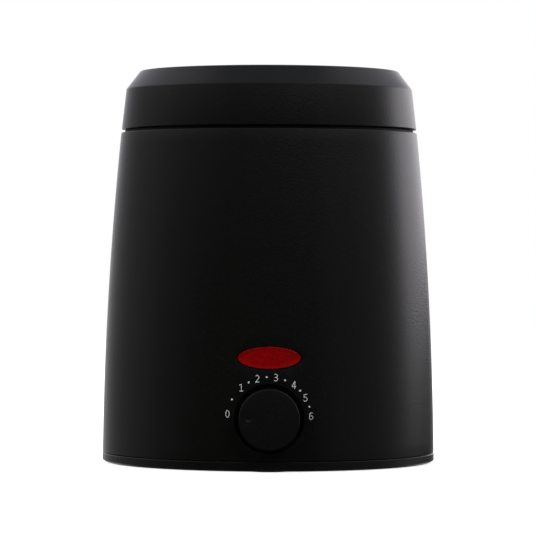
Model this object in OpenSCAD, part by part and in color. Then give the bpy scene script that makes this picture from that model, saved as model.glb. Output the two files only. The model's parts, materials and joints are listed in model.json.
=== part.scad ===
// Wax warmer pot: a bench-top heater for a lift-out pot of about one litre.
// Millimetres, +Z up, front towards -Y. The origin is on the axis of the casing, on the
// surface that the feet stand on.

/* [Wax pot] */
// Inside radius of the lift-out wax pot
pot_bore_r = 55; // [50:0.5:62]
// Sheet thickness of the wax pot
pot_wall = 1.2; // [0.8:0.1:2]
// Inside depth of the wax pot
pot_depth = 104; // [80:1:130]
// Inside radius where the pot's wall turns into its floor
pot_corner_r = 6; // [3:0.5:12]
// How far the turned-out rim stands out from the pot's wall
pot_rim_w = 5.8; // [5:0.1:8]
// Radius of the rolled bead along the edge of the rim
pot_bead_r = 1.3; // [1:0.1:1.8]

/* [Pot handles] */
// Width of each strip handle
handle_w = 30; // [24:1:40]
// Sheet thickness of each handle
handle_t = 1.2; // [0.8:0.1:2]
// Height of each handle above the pot's rim
handle_rise = 18; // [14:0.5:20]
// How far each handle's tab reaches down inside the pot
handle_drop = 13; // [10:0.5:20]
// Height of the bar across the top of each handle
handle_bar = 6; // [4:0.5:7]
// Width of the leg on each side of the finger slot
handle_leg = 6; // [4:0.5:8]
// Height of the strip left between the pot's rim and the finger slot
handle_web = 4; // [3:0.5:5]
// Gap between a handle's tab and the pot's wall
handle_gap = 0.05; // [0.02:0.01:0.1]
// Radius of the rivets that hold the handles
rivet_r = 1.6; // [1.2:0.1:2.2]
// Radius of each rivet's head
rivet_head_r = 3; // [2.4:0.1:3.6]
// Height of each rivet's head
rivet_head_h = 1; // [0.6:0.1:1.4]
// Distance between the two rivets of a handle
rivet_pitch = 16; // [12:1:20]
// Depth of the rivets below the pot's rim
rivet_drop = 8; // [6:0.5:9]

/* [Rim ring] */
// Width of the gap between the pot's bead and the lid's lip
lip_gap = 1; // [0.6:0.1:1.5]
// Thickness of the lip that centres the lid
lip_t = 2; // [1.5:0.1:2.5]
// Gap around the lid's lip, and under the lid
lid_gap = 0.4; // [0.3:0.05:0.6]
// Thickness of the upright wall of the rim ring
ring_wall = 4.8; // [4.2:0.1:6]
// Gap between the rim ring and the inside of the casing
ring_gap = 0.3; // [0.2:0.05:0.5]
// Thickness of the rim ring under the ledge that carries the pot
ring_t = 4.8; // [4:0.1:7]
// Depth of that ledge below the casing's top edge
ledge_drop = 1.2; // [0.8:0.1:2]
// Thickness of the rim ring where it lies over the casing's top edge
ring_cap_t = 1.1; // [0.8:0.1:1.6]
// How far the rim ring stays back from the casing's outside
ring_setback = 1.9; // [1:0.1:2]
// Gap between the ledge and the pot's rim
rim_seat_gap = 0.3; // [0.2:0.05:0.5]
// Gap between the rim ring's bore and the well
ring_bore_gap = 0.8; // [0.4:0.1:1.2]

/* [Lid] */
// Height of the lid from its lower edge to its top
lid_h = 28.9; // [26:0.1:36]
// Height of the sloping shoulder around the lid's top
lid_shoulder_h = 9; // [6:0.5:12]
// How far the shoulder leans in
lid_shoulder_w = 6.9; // [6:0.1:10]
// How far the lid's side leans in below the shoulder
lid_taper = 2.3; // [1:0.1:4]
// How much smaller the lid is than the casing's top edge
lid_inset = 0.2; // [0:0.1:1]
// Wall thickness of the lid
lid_wall = 2.4; // [1.8:0.1:3]
// Width of the raised border around the lid's top
lid_border_w = 3.4; // [2:0.1:6]
// Depth of the top below its border
lid_dish = 0.8; // [0.4:0.1:1.2]
// Thickness of the inner shelf that carries the lip
lip_shelf_t = 2.2; // [1.6:0.1:3]
// How far the lip stays above the ledge
lip_clearance = 0.6; // [0.4:0.1:0.8]

/* [Casing] */
// Wall thickness of the casing and of the base's band
casing_wall = 2.6; // [2:0.1:3.2]
// How much wider the casing is at its lower edge than at its top edge
side_taper = 8.8; // [6:0.1:12]
// How far the side bows out beyond a straight taper
side_bow = 1.7; // [0.5:0.1:3]
// Size of the small bevel along the casing's top edge
edge_break = 0.5; // [0.3:0.1:0.8]
// Number of rings that the casing's curved side is drawn with
side_rings = 14; // [8:1:24]

/* [Heated well] */
// Gap between the pot and the well around it
pot_gap = 1.4; // [1:0.1:2]
// Gap between the pot's floor and the well's floor
pot_floor_gap = 1; // [0.5:0.1:2]
// Sheet thickness of the well
well_wall = 1.2; // [1:0.1:2]
// Outside radius where the well's wall turns into its floor
well_corner_r = 8; // [5:0.5:12]
// How far the well's flange stays back from the rim ring's outside
flange_setback = 0.6; // [0.4:0.1:1.5]
// Height of the heater band
heater_h = 40; // [30:1:50]
// Thickness of the heater band
heater_t = 2.4; // [1.8:0.1:3]
// Height of the heater band above the well's floor
heater_lift = 18; // [16:1:24]
// Angle left open between the ends of the heater band
heater_gap_angle = 16; // [14:1:20]
// Gap between the heater band and the well, and between the band and its strap
band_gap = 0.1; // [0.05:0.05:0.3]
// Width of the strap that clamps the heater band
strap_w = 16; // [12:1:20]
// Sheet thickness of the strap
strap_t = 0.6; // [0.4:0.1:1]
// Height of the strap's two ears
ear_h = 9; // [8:0.5:11]
// Thickness of each ear
ear_t = 1.2; // [1:0.1:1.6]
// Distance between the ears
ear_gap = 7; // [5:0.5:9]
// Angle from the back of the well to each heater terminal
heater_tab_angle = 20; // [17:1:26]
// Height of the block that carries each heater terminal
heater_tab_h = 5; // [4:0.5:8]
// Height of the terminals above the heater band's lower edge
heater_tab_lift = 2; // [1:0.5:5]
// Gap between a heater terminal's connector and the band
heater_tab_gap = 0.7; // [0.4:0.1:1.5]

/* [Heat shield] */
// How much smaller the heat shield's radius is than the well's
shield_setback = 6.8; // [4.8:0.1:10.8]
// Sheet thickness of the heat shield
shield_t = 0.6; // [0.5:0.1:1.2]
// Distance from the heat shield up to the well's floor
shield_drop = 7; // [7:0.1:9]
// Air gap between the thermostat and the heat shield
shield_air = 4.6; // [4.6:0.1:8]
// Distance of the shield's studs in from its edge
stud_setback = 8; // [6:0.1:12]
// Radius of each stud's shoulder
stud_shoulder_r = 3; // [2.4:0.1:4]
// How far each stud reaches past its nut
stud_tail = 1.6; // [1:0.1:2.4]
// Radius of the shield's vent holes
vent_r = 3; // [2:0.1:4]

/* [Thermostat] */
// Width of the thermostat
thermostat_w = 36; // [32:1:42]
// Height of the thermostat
thermostat_h = 36; // [30:1:40]
// Depth of the thermostat
thermostat_d = 28; // [24:1:32]
// Distance between the two screws on its face
thermostat_pitch = 28; // [26:1:30]
// Radius of the bushing around its shaft
bushing_r = 5; // [4.5:0.1:6]
// Length of the bushing
bushing_l = 6.5; // [4:0.5:7.5]
// Radius of the shaft
shaft_r = 3; // [2.5:0.1:3.5]
// Running clearance around the shaft
shaft_gap = 0.05; // [0.02:0.01:0.08]
// Depth of the shaft inside the thermostat
shaft_seat = 12; // [8:1:16]
// Distance from the shaft's axis to its flat
shaft_flat = 2; // [1.6:0.1:2.4]
// Distance between the bracket and the back of the knob's recess
bracket_standoff = 8.4; // [8:0.1:12]
// Sheet thickness of the bracket
bracket_t = 1.5; // [1:0.1:2]
// Length of the bracket
bracket_l = 62; // [60:1:66]
// Height of the bracket
bracket_h = 24; // [18:1:28]
// Distance between the two posts that carry the bracket
post_pitch = 54; // [52:1:57]
// Radius of each post
post_r = 4; // [3.2:0.1:4.4]
// Width of each spade terminal
spade_w = 4.8; // [4:0.1:6.3]
// Thickness of each spade terminal
spade_t = 0.8; // [0.5:0.1:1]
// Length of each spade terminal
spade_l = 6.5; // [5:0.5:8]
// Distance between the thermostat's spade terminals
spade_pitch = 10; // [9:0.5:12]
// Height of the spade terminals below the shaft's axis
spade_drop = 9; // [6:0.5:12]

/* [Capillary] */
// Radius of the sensing bulb
bulb_r = 3; // [2:0.1:3.2]
// Length of the sensing bulb
bulb_l = 70; // [50:1:76]
// Distance of the sensing bulb in front of the axis
bulb_offset = 18; // [12:1:22]
// Radius of the capillary tube
capillary_r = 0.9; // [0.7:0.1:1.2]
// Length of the clips that hold the bulb and the fuse
clip_l = 9; // [7:0.5:11]
// Sheet thickness of those clips
clip_t = 0.5; // [0.4:0.1:0.8]
// Width of the foot on each side of a clip
clip_foot = 5; // [4:0.5:6]
// Gap between a clip and what it holds
clip_gap = 0.1; // [0.05:0.05:0.2]
// Radius of the thermal fuse
fuse_r = 2; // [1.5:0.1:2.4]
// Length of the thermal fuse
fuse_l = 11; // [9.5:0.5:14]
// Distance of the thermal fuse behind the axis
fuse_offset = 20; // [16:1:24]
// Length of each bare wire of the fuse
fuse_wire_l = 5; // [3:0.5:8]
// Radius of those wires
fuse_wire_r = 0.5; // [0.4:0.1:0.8]
// Distance of the capillary beside the shaft's axis
capillary_x = 12; // [8:0.5:14]
// Distance of the capillary behind the thermostat's face
capillary_setback = 6; // [4:0.5:12]
// Radius of the boss that the capillary leaves
boss_r = 3; // [2:0.1:4]
// Height of that boss
boss_h = 1.5; // [1:0.1:3]

/* [Knob] */
// Radius of the knob
knob_r = 14.4; // [12:0.1:16.5]
// How far the knob stands out from the casing
knob_proud = 6.5; // [4:0.1:12]
// Gap between the knob and the edge of its recess
pocket_gap = 2.1; // [1.2:0.1:3]
// Depth of the recess at its middle
pocket_depth = 5; // [3.5:0.1:6]
// Wall thickness around and behind the recess
pocket_wall = 2.2; // [1.8:0.1:3]
// Height of the strip of casing under the recess
pocket_sill = 3.4; // [2.2:0.1:8]
// Gap between the knob's back and the floor of the recess
knob_gap = 0.8; // [0.4:0.1:1.5]
// Radius of the knob's rounded edge
knob_edge_r = 0.6; // [0.3:0.1:1.2]
// Wall thickness of the knob
knob_wall = 2; // [1.5:0.1:2.6]
// Radius of the hub inside the knob
hub_r = 6; // [5:0.1:7]
// Distance of the pointer dimple from the knob's axis
dimple_offset = 9.8; // [7:0.1:11]
// Radius of the pointer dimple
dimple_r = 1.3; // [0.8:0.1:1.6]
// Depth of the pointer dimple
dimple_depth = 0.5; // [0.3:0.1:0.8]
// Direction of the pointer at rest, counted anticlockwise from +X
pointer_angle = 178.5; // [150:0.5:180]
// Gap left for the leaf spring between the shaft's flat and the hub
leaf_gap = 0.5; // [0.4:0.05:0.7]
// Thickness of the leaf spring
leaf_t = 0.35; // [0.2:0.05:0.38]
// Length of the leaf spring
leaf_l = 7; // [5:0.5:7.5]
// Length of the shaft's flat behind the leaf spring
flat_spare = 1; // [0.5:0.1:2]
// Thickness left between the shaft's bore and the knob's face
bore_roof = 1; // [0.6:0.1:1.5]
// Gap at each end of the shaft
shaft_end_gap = 0.3; // [0.2:0.05:0.6]
// Width of the leaf spring
leaf_w = 3; // [2.4:0.1:3.2]

/* [Indicator lamp] */
// Half the width of the oval lens
lens_half_w = 14.8; // [12:0.1:17]
// Half the height of the oval lens
lens_half_h = 5.2; // [5.2:0.1:7]
// Height of the lens's centre above the knob's axis
lamp_rise = 28.7; // [27:0.1:34]
// Gap between the lens and the casing
lens_gap = 0.7; // [0.3:0.1:0.8]
// How far the lens stands out from the casing
lens_proud = 0.3; // [0:0.1:1]
// Wall thickness of the lens
lens_wall = 1.2; // [1:0.1:1.6]
// Depth of the lens behind the front of the casing
lens_depth = 7; // [6.6:0.1:8]
// Depth of the oval seat behind the lens
lamp_seat_d = 3.5; // [3.2:0.1:5]
// Depth of the terminal block of the lamp, behind the seat
lamp_tail_d = 5; // [4.6:0.1:6]
// Half the width of that block
lamp_tail_half_w = 10; // [9:0.5:11]
// Half the height of that block
lamp_tail_half_h = 3.5; // [3:0.1:4.4]
// How much smaller the seat is than the lens, all round
lamp_seat_gap = 0.4; // [0.2:0.1:0.8]
// Gap around the neon bulb in the seat
neon_gap = 0.3; // [0.2:0.1:0.6]
// Gap around the lens in the spring plate
plate_gap = 0.1; // [0.05:0.05:0.3]
// Radius of the neon bulb
neon_r = 2.7; // [2:0.1:3]
// Length of the neon bulb
neon_l = 13; // [10:0.5:15]
// Half the length of the spring plate that holds the lamp
plate_half_l = 19; // [18:0.5:22]
// Half the height of the spring plate
plate_half_h = 8; // [7:0.5:9]
// Thickness of the spring plate
plate_t = 0.6; // [0.4:0.1:1]

/* [Base] */
// Thickness of the base's floor
base_floor_t = 2.4; // [2:0.1:3]
// Height of the base's band above its underside
base_band_h = 4.7; // [4:0.1:7]
// How far the band stands out from the casing
base_step = 0.1; // [0:0.1:0.5]
// Width of the bevel under the band
base_bevel_w = 1.6; // [1:0.1:2]
// Height of the bevel under the band
base_bevel_h = 1; // [0.6:0.1:1.4]
// Height of the seam between the band and the casing
seam_gap = 0.2; // [0.2:0.1:0.6]
// Height of the locating ribs above the base's floor
locator_h = 6; // [5:0.5:8]
// Thickness of the locating ribs
locator_t = 2; // [1.5:0.1:2.5]
// Gap between the locating ribs and the casing
locator_gap = 0.3; // [0.2:0.05:0.5]
// Half the angle that each locating rib covers
locator_angle = 28; // [15:1:31]
// Distance of the base screws in from the casing's lower edge
base_screw_setback = 10.9; // [9.9:0.1:13.9]
// Radius of the posts that take the base screws
base_post_r = 4.5; // [4:0.1:5]
// Height of those posts
base_post_h = 22; // [18:1:28]
// How deep the base screws' heads lie in the base
head_sink = 1.4; // [0.8:0.1:1.8]
// Thickness of the base over those heads
pad_t = 2.6; // [2:0.1:3]
// Number of cooling slots in each half of the base
slot_count = 5; // [3:1:6]
// Distance from the middle of the base to each row of slots
slot_inset = 5; // [4:0.5:8]
// Width of each cooling slot
slot_w = 3; // [2:0.1:3.4]
// Length of each cooling slot
slot_l = 26; // [16:1:28]
// Distance between neighbouring cooling slots
slot_pitch = 7; // [5.5:0.5:7.5]

/* [Feet] */
// Radius of each rubber foot
foot_r = 11; // [8:0.5:12]
// How far the feet stand out under the base
foot_proud = 0.5; // [0.5:0.1:3]
// Depth of each foot's recess in the base
foot_seat = 1; // [0.8:0.1:1.4]
// Gap around each foot in its recess
foot_gap = 0.1; // [0.05:0.05:0.3]
// Distance of each foot's middle in from the base's edge
foot_setback = 16; // [15:0.1:20]

/* [Cord entry] */
// Radius of the cord's hole through the bush
cord_r = 3.5; // [2.5:0.1:4]
// Height of the cord's hole above the base's band
cord_rise = 8.6; // [8:0.1:10]
// Half the width of the bush where it passes the casing
bush_half_w = 5.8; // [5.4:0.1:7]
// Radius of the bush outside the casing
bush_r = 7; // [6:0.1:8]
// How far the bush stands out behind the casing
bush_proud = 6.3; // [4:0.1:10]
// Thickness of the bush's flanges
bush_flange_t = 2; // [1.5:0.1:2.5]
// Width of the bush's flanges around the notch
bush_flange_w = 1.6; // [1.2:0.1:2.4]
// Gap between the bush and the casing
bush_gap = 0.15; // [0.1:0.05:0.3]

/* [Terminal block] */
// Distance of the terminal block's middle in from the casing's rear edge
block_setback = 33.9; // [31.9:0.1:37.9]
// Distance between its ways
way_pitch = 10; // [9:0.5:12]
// Radius of the wire holes
way_r = 2.2; // [2.1:0.1:2.6]
// Height of the wire holes above the base's floor
way_rise = 5; // [4.4:0.1:7]
// Depth of the block from front to back
block_d = 16; // [14:0.5:18]
// Height of the block
block_h = 13; // [12:0.5:16]
// Margin of the block beyond its outer ways
block_margin = 6; // [5:0.5:8]
// Radius of the clamping screws
way_screw_r = 1.95; // [1.6:0.05:2.1]
// How deep the clamping screws lie in the block
way_screw_sink = 1; // [0.5:0.1:2]
// Radius of the pegs that hold the block on the base
peg_r = 1.4; // [1.2:0.1:1.5]

/* [Leads] */
// Radius of the mains leads
lead_r = 1.1; // [0.9:0.05:1.1]
// Radius of the thin leads of the lamp
lamp_lead_r = 0.8; // [0.6:0.05:0.8]
// Thickness of a connector's sleeve around its spade
boot_wall = 1; // [0.8:0.1:1.1]
// Gap between a connector and its spade
boot_gap = 0.1; // [0.05:0.05:0.15]
// Length of a connector behind its spade
boot_tail = 2; // [1.5:0.1:3]
// Space between the lamp's two connectors
boot_space = 4; // [2:0.5:6]
// Depth of a lead inside the terminal block
lead_seat = 6; // [4:0.5:7]

/* [Earth tag] */
// Width of the tag's ring around its nut
tag_margin = 1.2; // [0.8:0.1:2]
// Length of the tag from its hole to its end
tag_tail = 14; // [12:0.5:18]
// Wall thickness of the tag's crimp barrel
barrel_wall = 0.9; // [0.6:0.1:1]
// Length of the crimp barrel
barrel_l = 6; // [5:0.5:8]

/* [Screws] */
// Radius of the screws' threads
screw_r = 1.5; // [1.2:0.05:1.5]
// Radius of the screws' heads
screw_head_r = 3; // [2.6:0.1:3.2]
// Height of the screws' heads
screw_head_h = 2.2; // [1.8:0.1:2.4]
// Gap around a screw in its threaded hole
thread_gap = 0.05; // [0.02:0.01:0.1]
// Gap around a screw in a through hole
hole_gap = 0.2; // [0.1:0.05:0.3]
// Gap around a screw's head in a counterbore
head_gap = 0.3; // [0.2:0.1:0.5]
// Width of the cross recess in each head
recess_w = 0.8; // [0.6:0.1:1]
// Length of the cross recess
recess_l = 3.4; // [2.8:0.1:4]
// Depth of the cross recess
recess_d = 1.2; // [0.8:0.1:1.5]
// Distance of the rim screws in from the rim ring's outside
rim_screw_setback = 3.4; // [3.2:0.1:3.6]
// Length of the rim screws
rim_screw_l = 8; // [7:0.5:8.5]
// Length of the bracket's screws
bracket_screw_l = 7; // [5:0.5:8]
// Length of the thermostat's screws
thermostat_screw_l = 6; // [5:0.5:8]
// Length of the base screws
base_screw_l = 14; // [10:0.5:16]
// Length of the screw that closes the heater's strap
clamp_screw_l = 18; // [15:0.5:20]
// Half the width of a hexagon nut across its corners
nut_r = 3.1; // [2.8:0.1:3.2]
// Height of a hexagon nut
nut_h = 2.4; // [2:0.1:3]
// Thickness of the lugs that carry the well's flange
lug_t = 3.6; // [3:0.1:4]
// Gap between those lugs and the well
lug_gap = 2; // [1:0.1:4]
// Width of those lugs
lug_w = 14; // [10:1:18]

/* [Hidden] */

$fn = 64;
round_fn = 128; // fineness of the large turned pieces
cut = 1; // how far a cut runs past the faces that it opens
far = 200; // longer than anything that it has to reach through
moulded = [0.07, 0.07, 0.08];
aluminium = [0.75, 0.76, 0.78];
steel = [0.62, 0.63, 0.65];
brass = [0.8, 0.66, 0.35];
copper = [0.72, 0.45, 0.3];

// Heights, from the ground up
base_low_z = foot_proud;
base_floor_z = base_low_z + base_floor_t;
band_top_z = base_low_z + base_band_h;
casing_low_z = band_top_z + seam_gap;
pocket_r = knob_r + pocket_gap;
knob_z = casing_low_z + pocket_sill + pocket_r;
lamp_z = knob_z + lamp_rise;
shield_z = knob_z + thermostat_h / 2 + shield_air;
well_low_z = shield_z + shield_t + shield_drop;
well_floor_z = well_low_z + well_wall;
pot_low_z = well_floor_z + pot_floor_gap;
pot_floor_z = pot_low_z + pot_wall;
pot_mouth_z = pot_floor_z + pot_depth;
ledge_z = pot_mouth_z - pot_wall - rim_seat_gap;
casing_top_z = ledge_z + ledge_drop;
ring_low_z = ledge_z - ring_t;
flange_low_z = ring_low_z - well_wall;
ring_top_z = casing_top_z + ring_cap_t;
lid_low_z = ring_top_z + lid_gap;
lid_top_z = lid_low_z + lid_h;

// Radii, from the pot outwards
pot_r = pot_bore_r + pot_wall;
pot_rim_r = pot_r + pot_rim_w;
lip_in_r = pot_rim_r + lip_gap;
lip_out_r = lip_in_r + lip_t;
ring_wall_r = lip_out_r + lid_gap;
ring_r = ring_wall_r + ring_wall;
casing_top_r = ring_r + ring_gap + casing_wall;
casing_low_r = casing_top_r + side_taper;
ring_cap_r = casing_top_r - ring_setback;
lid_r = casing_top_r - lid_inset;
lid_shoulder_r = lid_r - lid_taper;
lid_top_r = lid_shoulder_r - lid_shoulder_w;
well_bore_r = pot_r + pot_gap;
well_r = well_bore_r + well_wall;
flange_r = ring_r - flange_setback;
shield_r = well_r - shield_setback;
stud_circle_r = shield_r - stud_setback;
rim_screw_circle_r = ring_r - rim_screw_setback;
base_r = casing_low_r + base_step;
base_screw_circle_r = casing_low_r - base_screw_setback;
foot_circle_r = base_r - foot_setback;
block_offset = casing_low_r - block_setback;

// The casing's outside radius at a height
function side_share(z) = (z - casing_low_z) / (casing_top_z - casing_low_z);
function side_r(z) = casing_low_r - side_taper * side_share(z)
    + 4 * side_bow * side_share(z) * (1 - side_share(z));

// Distances in front of the axis, for what is fixed to the casing's front
knob_wall_r = side_r(knob_z);
pocket_floor_r = knob_wall_r - pocket_depth;
pocket_back_r = pocket_floor_r - pocket_wall;
knob_back_r = pocket_floor_r + knob_gap;
knob_h = knob_wall_r + knob_proud - knob_back_r;
shaft_tip_r = knob_back_r + knob_h - knob_wall - bore_roof - shaft_end_gap;
bracket_front_r = pocket_back_r - bracket_standoff;
thermostat_front_r = bracket_front_r - bracket_t;
thermostat_back_r = thermostat_front_r - thermostat_d;
lamp_wall_r = side_r(lamp_z);
lens_back_r = lamp_wall_r - lens_depth;
lamp_seat_back_r = lens_back_r - lamp_seat_d;
lamp_tail_back_r = lamp_seat_back_r - lamp_tail_d;
neon_centre_r = lens_back_r;
plate_front_r = sqrt(pow(side_r(lamp_z + plate_half_h) - casing_wall, 2) - pow(plate_half_l, 2));
lamp_spade_r = (lamp_seat_back_r + lamp_tail_back_r) / 2;
lamp_spade_x = spade_w / 2 + boot_wall + boot_space / 2;
lamp_spade_low_z = lamp_z - lamp_tail_half_h - spade_l;

heater_low_z = well_low_z + heater_lift;
heater_r = well_r + band_gap + heater_t;
strap_r = heater_r + band_gap + strap_t;
strap_mid_z = heater_low_z + heater_h / 2;
clamp_screw_y = strap_r + ear_h / 2;
heater_spade_r = heater_r + heater_tab_gap + boot_wall + spade_t / 2;
heater_spade_top_z = heater_low_z + heater_tab_lift;
bulb_z = well_low_z - bulb_r - clip_gap;
fuse_z = well_low_z - fuse_r - clip_gap;
capillary_y = capillary_setback - thermostat_front_r;
stud_angles = [60, 180, 300];
rim_screw_angles = [30, 150, 270];
base_screw_angles = [45, 135, 225, 315];
foot_angles = [270, 0, 90, 180];
locator_angles = [0, 180];
base_head_z = base_low_z + head_sink + screw_head_h;
base_post_low_z = base_head_z + pad_t;
cord_z = band_top_z + cord_rise;
rear_wall_r = side_r(cord_z);
block_front_y = block_offset - block_d / 2;
way_z = base_floor_z + way_rise;
edge_route_r = shield_r + 5; // where leads pass the edge of the heat shield
under_well_z = fuse_z; // the height of the leads between the well and the shield
lead_turn_x = sqrt(pow(shield_r, 2) - pow(fuse_offset, 2)) - 3.5; // where they turn to that edge
spade_z = knob_z - spade_drop;
boot_l = spade_l + boot_tail;
tag_r = nut_r + tag_margin;
barrel_r = lead_r + barrel_wall;
bush_sag = 1; // how far the bush allows for the curve of the wall that it passes

// ---- Shared shapes ----

// Points along an arc, anticlockwise from one angle to another
function arc(x, y, r, from, to, steps = 8) =
    [for (i = [0 : steps]) let (a = from + (to - from) * i / steps) [x + r * cos(a), y + r * sin(a)]];

// Outline of an oval
function oval(half_w, half_h, steps = 60) =
    [for (i = [0 : steps - 1]) let (a = 360 * i / steps) [half_w * cos(a), half_h * sin(a)]];

function polar(r, angle, z) = [r * cos(angle), r * sin(angle), z];
function unit(v) = v / norm(v);

// Puts a shape on the casing's front: its +Z points forwards, at a distance from the axis
module on_front(distance, z) {
    translate([0, -distance, z])
        rotate([90, 0, 0])
            children();
}

// The space inside the casing's outer face, drawn in by an inset
module casing_core(inset) {
    function core_z(i) = casing_low_z + (casing_top_z - casing_low_z) * i / side_rings;
    side = [for (i = [0 : side_rings]) [side_r(core_z(i)) - inset, core_z(i)]];
    rotate_extrude($fn = round_fn)
        polygon(concat([[0, casing_low_z]], side, [[0, casing_top_z]]));
}

module ring_sector(r_in, r_out, z_low, z_high, middle, half_angle) {
    rotate([0, 0, middle - half_angle])
        rotate_extrude(angle = 2 * half_angle, $fn = round_fn)
            translate([r_in, z_low])
                square([r_out - r_in, z_high - z_low]);
}

module turned(points) {
    rotate_extrude($fn = round_fn)
        polygon(points);
}

// A screw along +Z: the head hangs below z = 0 and the shank rises from it
module pan_screw(length) {
    difference() {
        union() {
            translate([0, 0, -screw_head_h])
                cylinder(r1 = screw_head_r - edge_break, r2 = screw_head_r, h = edge_break);
            translate([0, 0, edge_break - screw_head_h])
                cylinder(r = screw_head_r, h = screw_head_h - edge_break);
            translate([0, 0, -edge_break])
                cylinder(r = screw_r, h = length + edge_break);
        }
        for (turn = [0, 90])
            rotate([0, 0, turn])
                translate([-recess_l / 2, -recess_w / 2, -screw_head_h - cut])
                    cube([recess_l, recess_w, recess_d + cut]);
    }
}

// A hexagon nut standing on z = 0
module hex_nut() {
    difference() {
        cylinder(r = nut_r, h = nut_h, $fn = 6);
        translate([0, 0, -cut])
            cylinder(r = screw_r + thread_gap, h = nut_h + 2 * cut);
    }
}

// A strap clip along X under a flat floor at z = 0, around a rod of a radius
module strap_clip(rod_r, length) {
    inner = rod_r + clip_gap;
    outer = inner + clip_t;
    translate([-length / 2, 0, 0])
        rotate([90, 0, 90])
            linear_extrude(height = length)
                difference() {
                    union() {
                        translate([0, -inner])
                            circle(r = outer);
                        translate([-outer, -inner])
                            square([2 * outer, inner]);
                        translate([-outer - clip_foot, -clip_t])
                            square([2 * (outer + clip_foot), clip_t]);
                    }
                    translate([0, -inner])
                        circle(r = inner);
                    translate([-inner, -inner])
                        square([2 * inner, inner + cut]);
                }
}

// A smooth route through its own points
function route_point(p0, p1, p2, p3, t) = 0.5 * (2 * p1 + (p2 - p0) * t
    + (2 * p0 - 5 * p1 + 4 * p2 - p3) * t * t + (3 * p1 - p0 - 3 * p2 + p3) * t * t * t);
function route(points, steps) = let (last = len(points) - 1) concat(
    [for (i = [0 : last - 1], k = [0 : steps - 1])
        route_point(points[max(i - 1, 0)], points[i], points[i + 1], points[min(i + 2, last)], k / steps)],
    [points[last]]);

// A wire swept along a smooth route
module wire(points, r, steps = 5, sides = 8) {
    p = route(points, steps);
    n = len(p);
    way = [for (i = [0 : n - 1]) unit(p[min(i + 1, n - 1)] - p[max(i - 1, 0)])];
    start = abs(way[0].z) < 0.8 ? [0, 0, 1] : [1, 0, 0];
    side = [for (i = 0, v = unit(start - (start * way[0]) * way[0]);
        i < n;
        i = i + 1, v = unit(v - (v * way[min(i, n - 1)]) * way[min(i, n - 1)])) v];
    corners = [for (i = [0 : n - 1], k = [0 : sides - 1])
        p[i] + r * (side[i] * cos(360 * k / sides) + cross(way[i], side[i]) * sin(360 * k / sides))];
    walls = [for (i = [0 : n - 2], k = [0 : sides - 1])
        let (a = i * sides + k, b = i * sides + (k + 1) % sides) [a, a + sides, b + sides, b]];
    start_cap = [for (k = [0 : sides - 1]) k];
    end_cap = [for (k = [sides - 1 : -1 : 0]) (n - 1) * sides + k];
    polyhedron(corners, concat(walls, [start_cap, end_cap]), convexity = 10);
}

// A connector over a spade that points along +Z; its mouth is at z = 0
module boot() {
    w = spade_w + 2 * boot_wall;
    t = spade_t + 2 * boot_wall;
    difference() {
        translate([-w / 2, -t / 2, 0])
            cube([w, t, boot_l]);
        translate([-spade_w / 2 - boot_gap, -spade_t / 2 - boot_gap, -cut])
            cube([spade_w + 2 * boot_gap, spade_t + 2 * boot_gap, spade_l + boot_gap + cut]);
    }
}

// ---- Wax pot ----

module wax_pot() {
    corner_out = pot_corner_r + pot_wall;
    bead_z = pot_mouth_z - pot_wall + pot_bead_r;
    wall_in = concat(
        [[0, pot_floor_z]],
        arc(pot_bore_r - pot_corner_r, pot_floor_z + pot_corner_r, pot_corner_r, -90, 0),
        [[pot_bore_r, pot_mouth_z]],
        [[pot_rim_r - pot_bead_r, pot_mouth_z]]);
    wall_out = concat(
        [[pot_rim_r - pot_bead_r, pot_mouth_z - pot_wall]],
        [[pot_r, pot_mouth_z - pot_wall]],
        arc(pot_r - corner_out, pot_low_z + corner_out, corner_out, 0, -90),
        [[0, pot_low_z]]);
    color(aluminium)
        difference() {
            union() {
                turned(concat(wall_in, wall_out));
                rotate_extrude($fn = round_fn)
                    translate([pot_rim_r - pot_bead_r, bead_z])
                        circle(r = pot_bead_r);
            }
            for (i = [1 : 4])
                at_rivet(i)
                    translate([0, 0, -cut])
                        cylinder(r = rivet_r + thread_gap, h = pot_wall + 4 * cut);
        }
}

function handle_side(i) = i > 2 ? 180 : 0;
function rivet_turn(i) = (i % 2 == 0 ? 1 : -1) * asin(rivet_pitch / 2 / pot_bore_r);

// Puts a shape at a rivet: its +Z points outwards, and z = 0 is the pot's inner face
module at_rivet(i) {
    rotate([0, 0, handle_side(i) + rivet_turn(i)])
        translate([pot_bore_r, 0, pot_mouth_z - rivet_drop])
            rotate([0, 90, 0])
                children();
}

module pot_handle(side) {
    out_r = pot_bore_r - handle_gap;
    in_r = out_r - handle_t;
    half = asin(handle_w / 2 / pot_bore_r);
    slot_half = asin((handle_w / 2 - handle_leg) / pot_bore_r);
    top_z = pot_mouth_z + handle_rise;
    color(steel)
        rotate([0, 0, side * 180])
            difference() {
                ring_sector(in_r, out_r, pot_mouth_z - handle_drop, top_z, 0, half);
                ring_sector(in_r - cut, out_r + cut,
                    pot_mouth_z + handle_web, top_z - handle_bar, 0, slot_half);
                for (i = [1, 2])
                    at_rivet(i)
                        translate([0, 0, -handle_t - 2 * cut])
                            cylinder(r = rivet_r + thread_gap, h = handle_t + 4 * cut);
            }
}

module pot_rivet(i) {
    head_rise = pow(rivet_head_r, 2) / (2 * pot_bore_r) + thread_gap; // the tab curves, and the head is flat
    seat = -handle_gap - handle_t - head_rise;
    color(aluminium)
        at_rivet(i) {
            translate([0, 0, seat - rivet_head_h])
                cylinder(r1 = rivet_head_r - rivet_head_h, r2 = rivet_head_r, h = rivet_head_h);
            translate([0, 0, seat - rivet_head_h / 2])
                cylinder(r = rivet_r, h = rivet_head_h / 2 + pot_wall - seat - thread_gap);
        }
}

// ---- Lid ----

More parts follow.
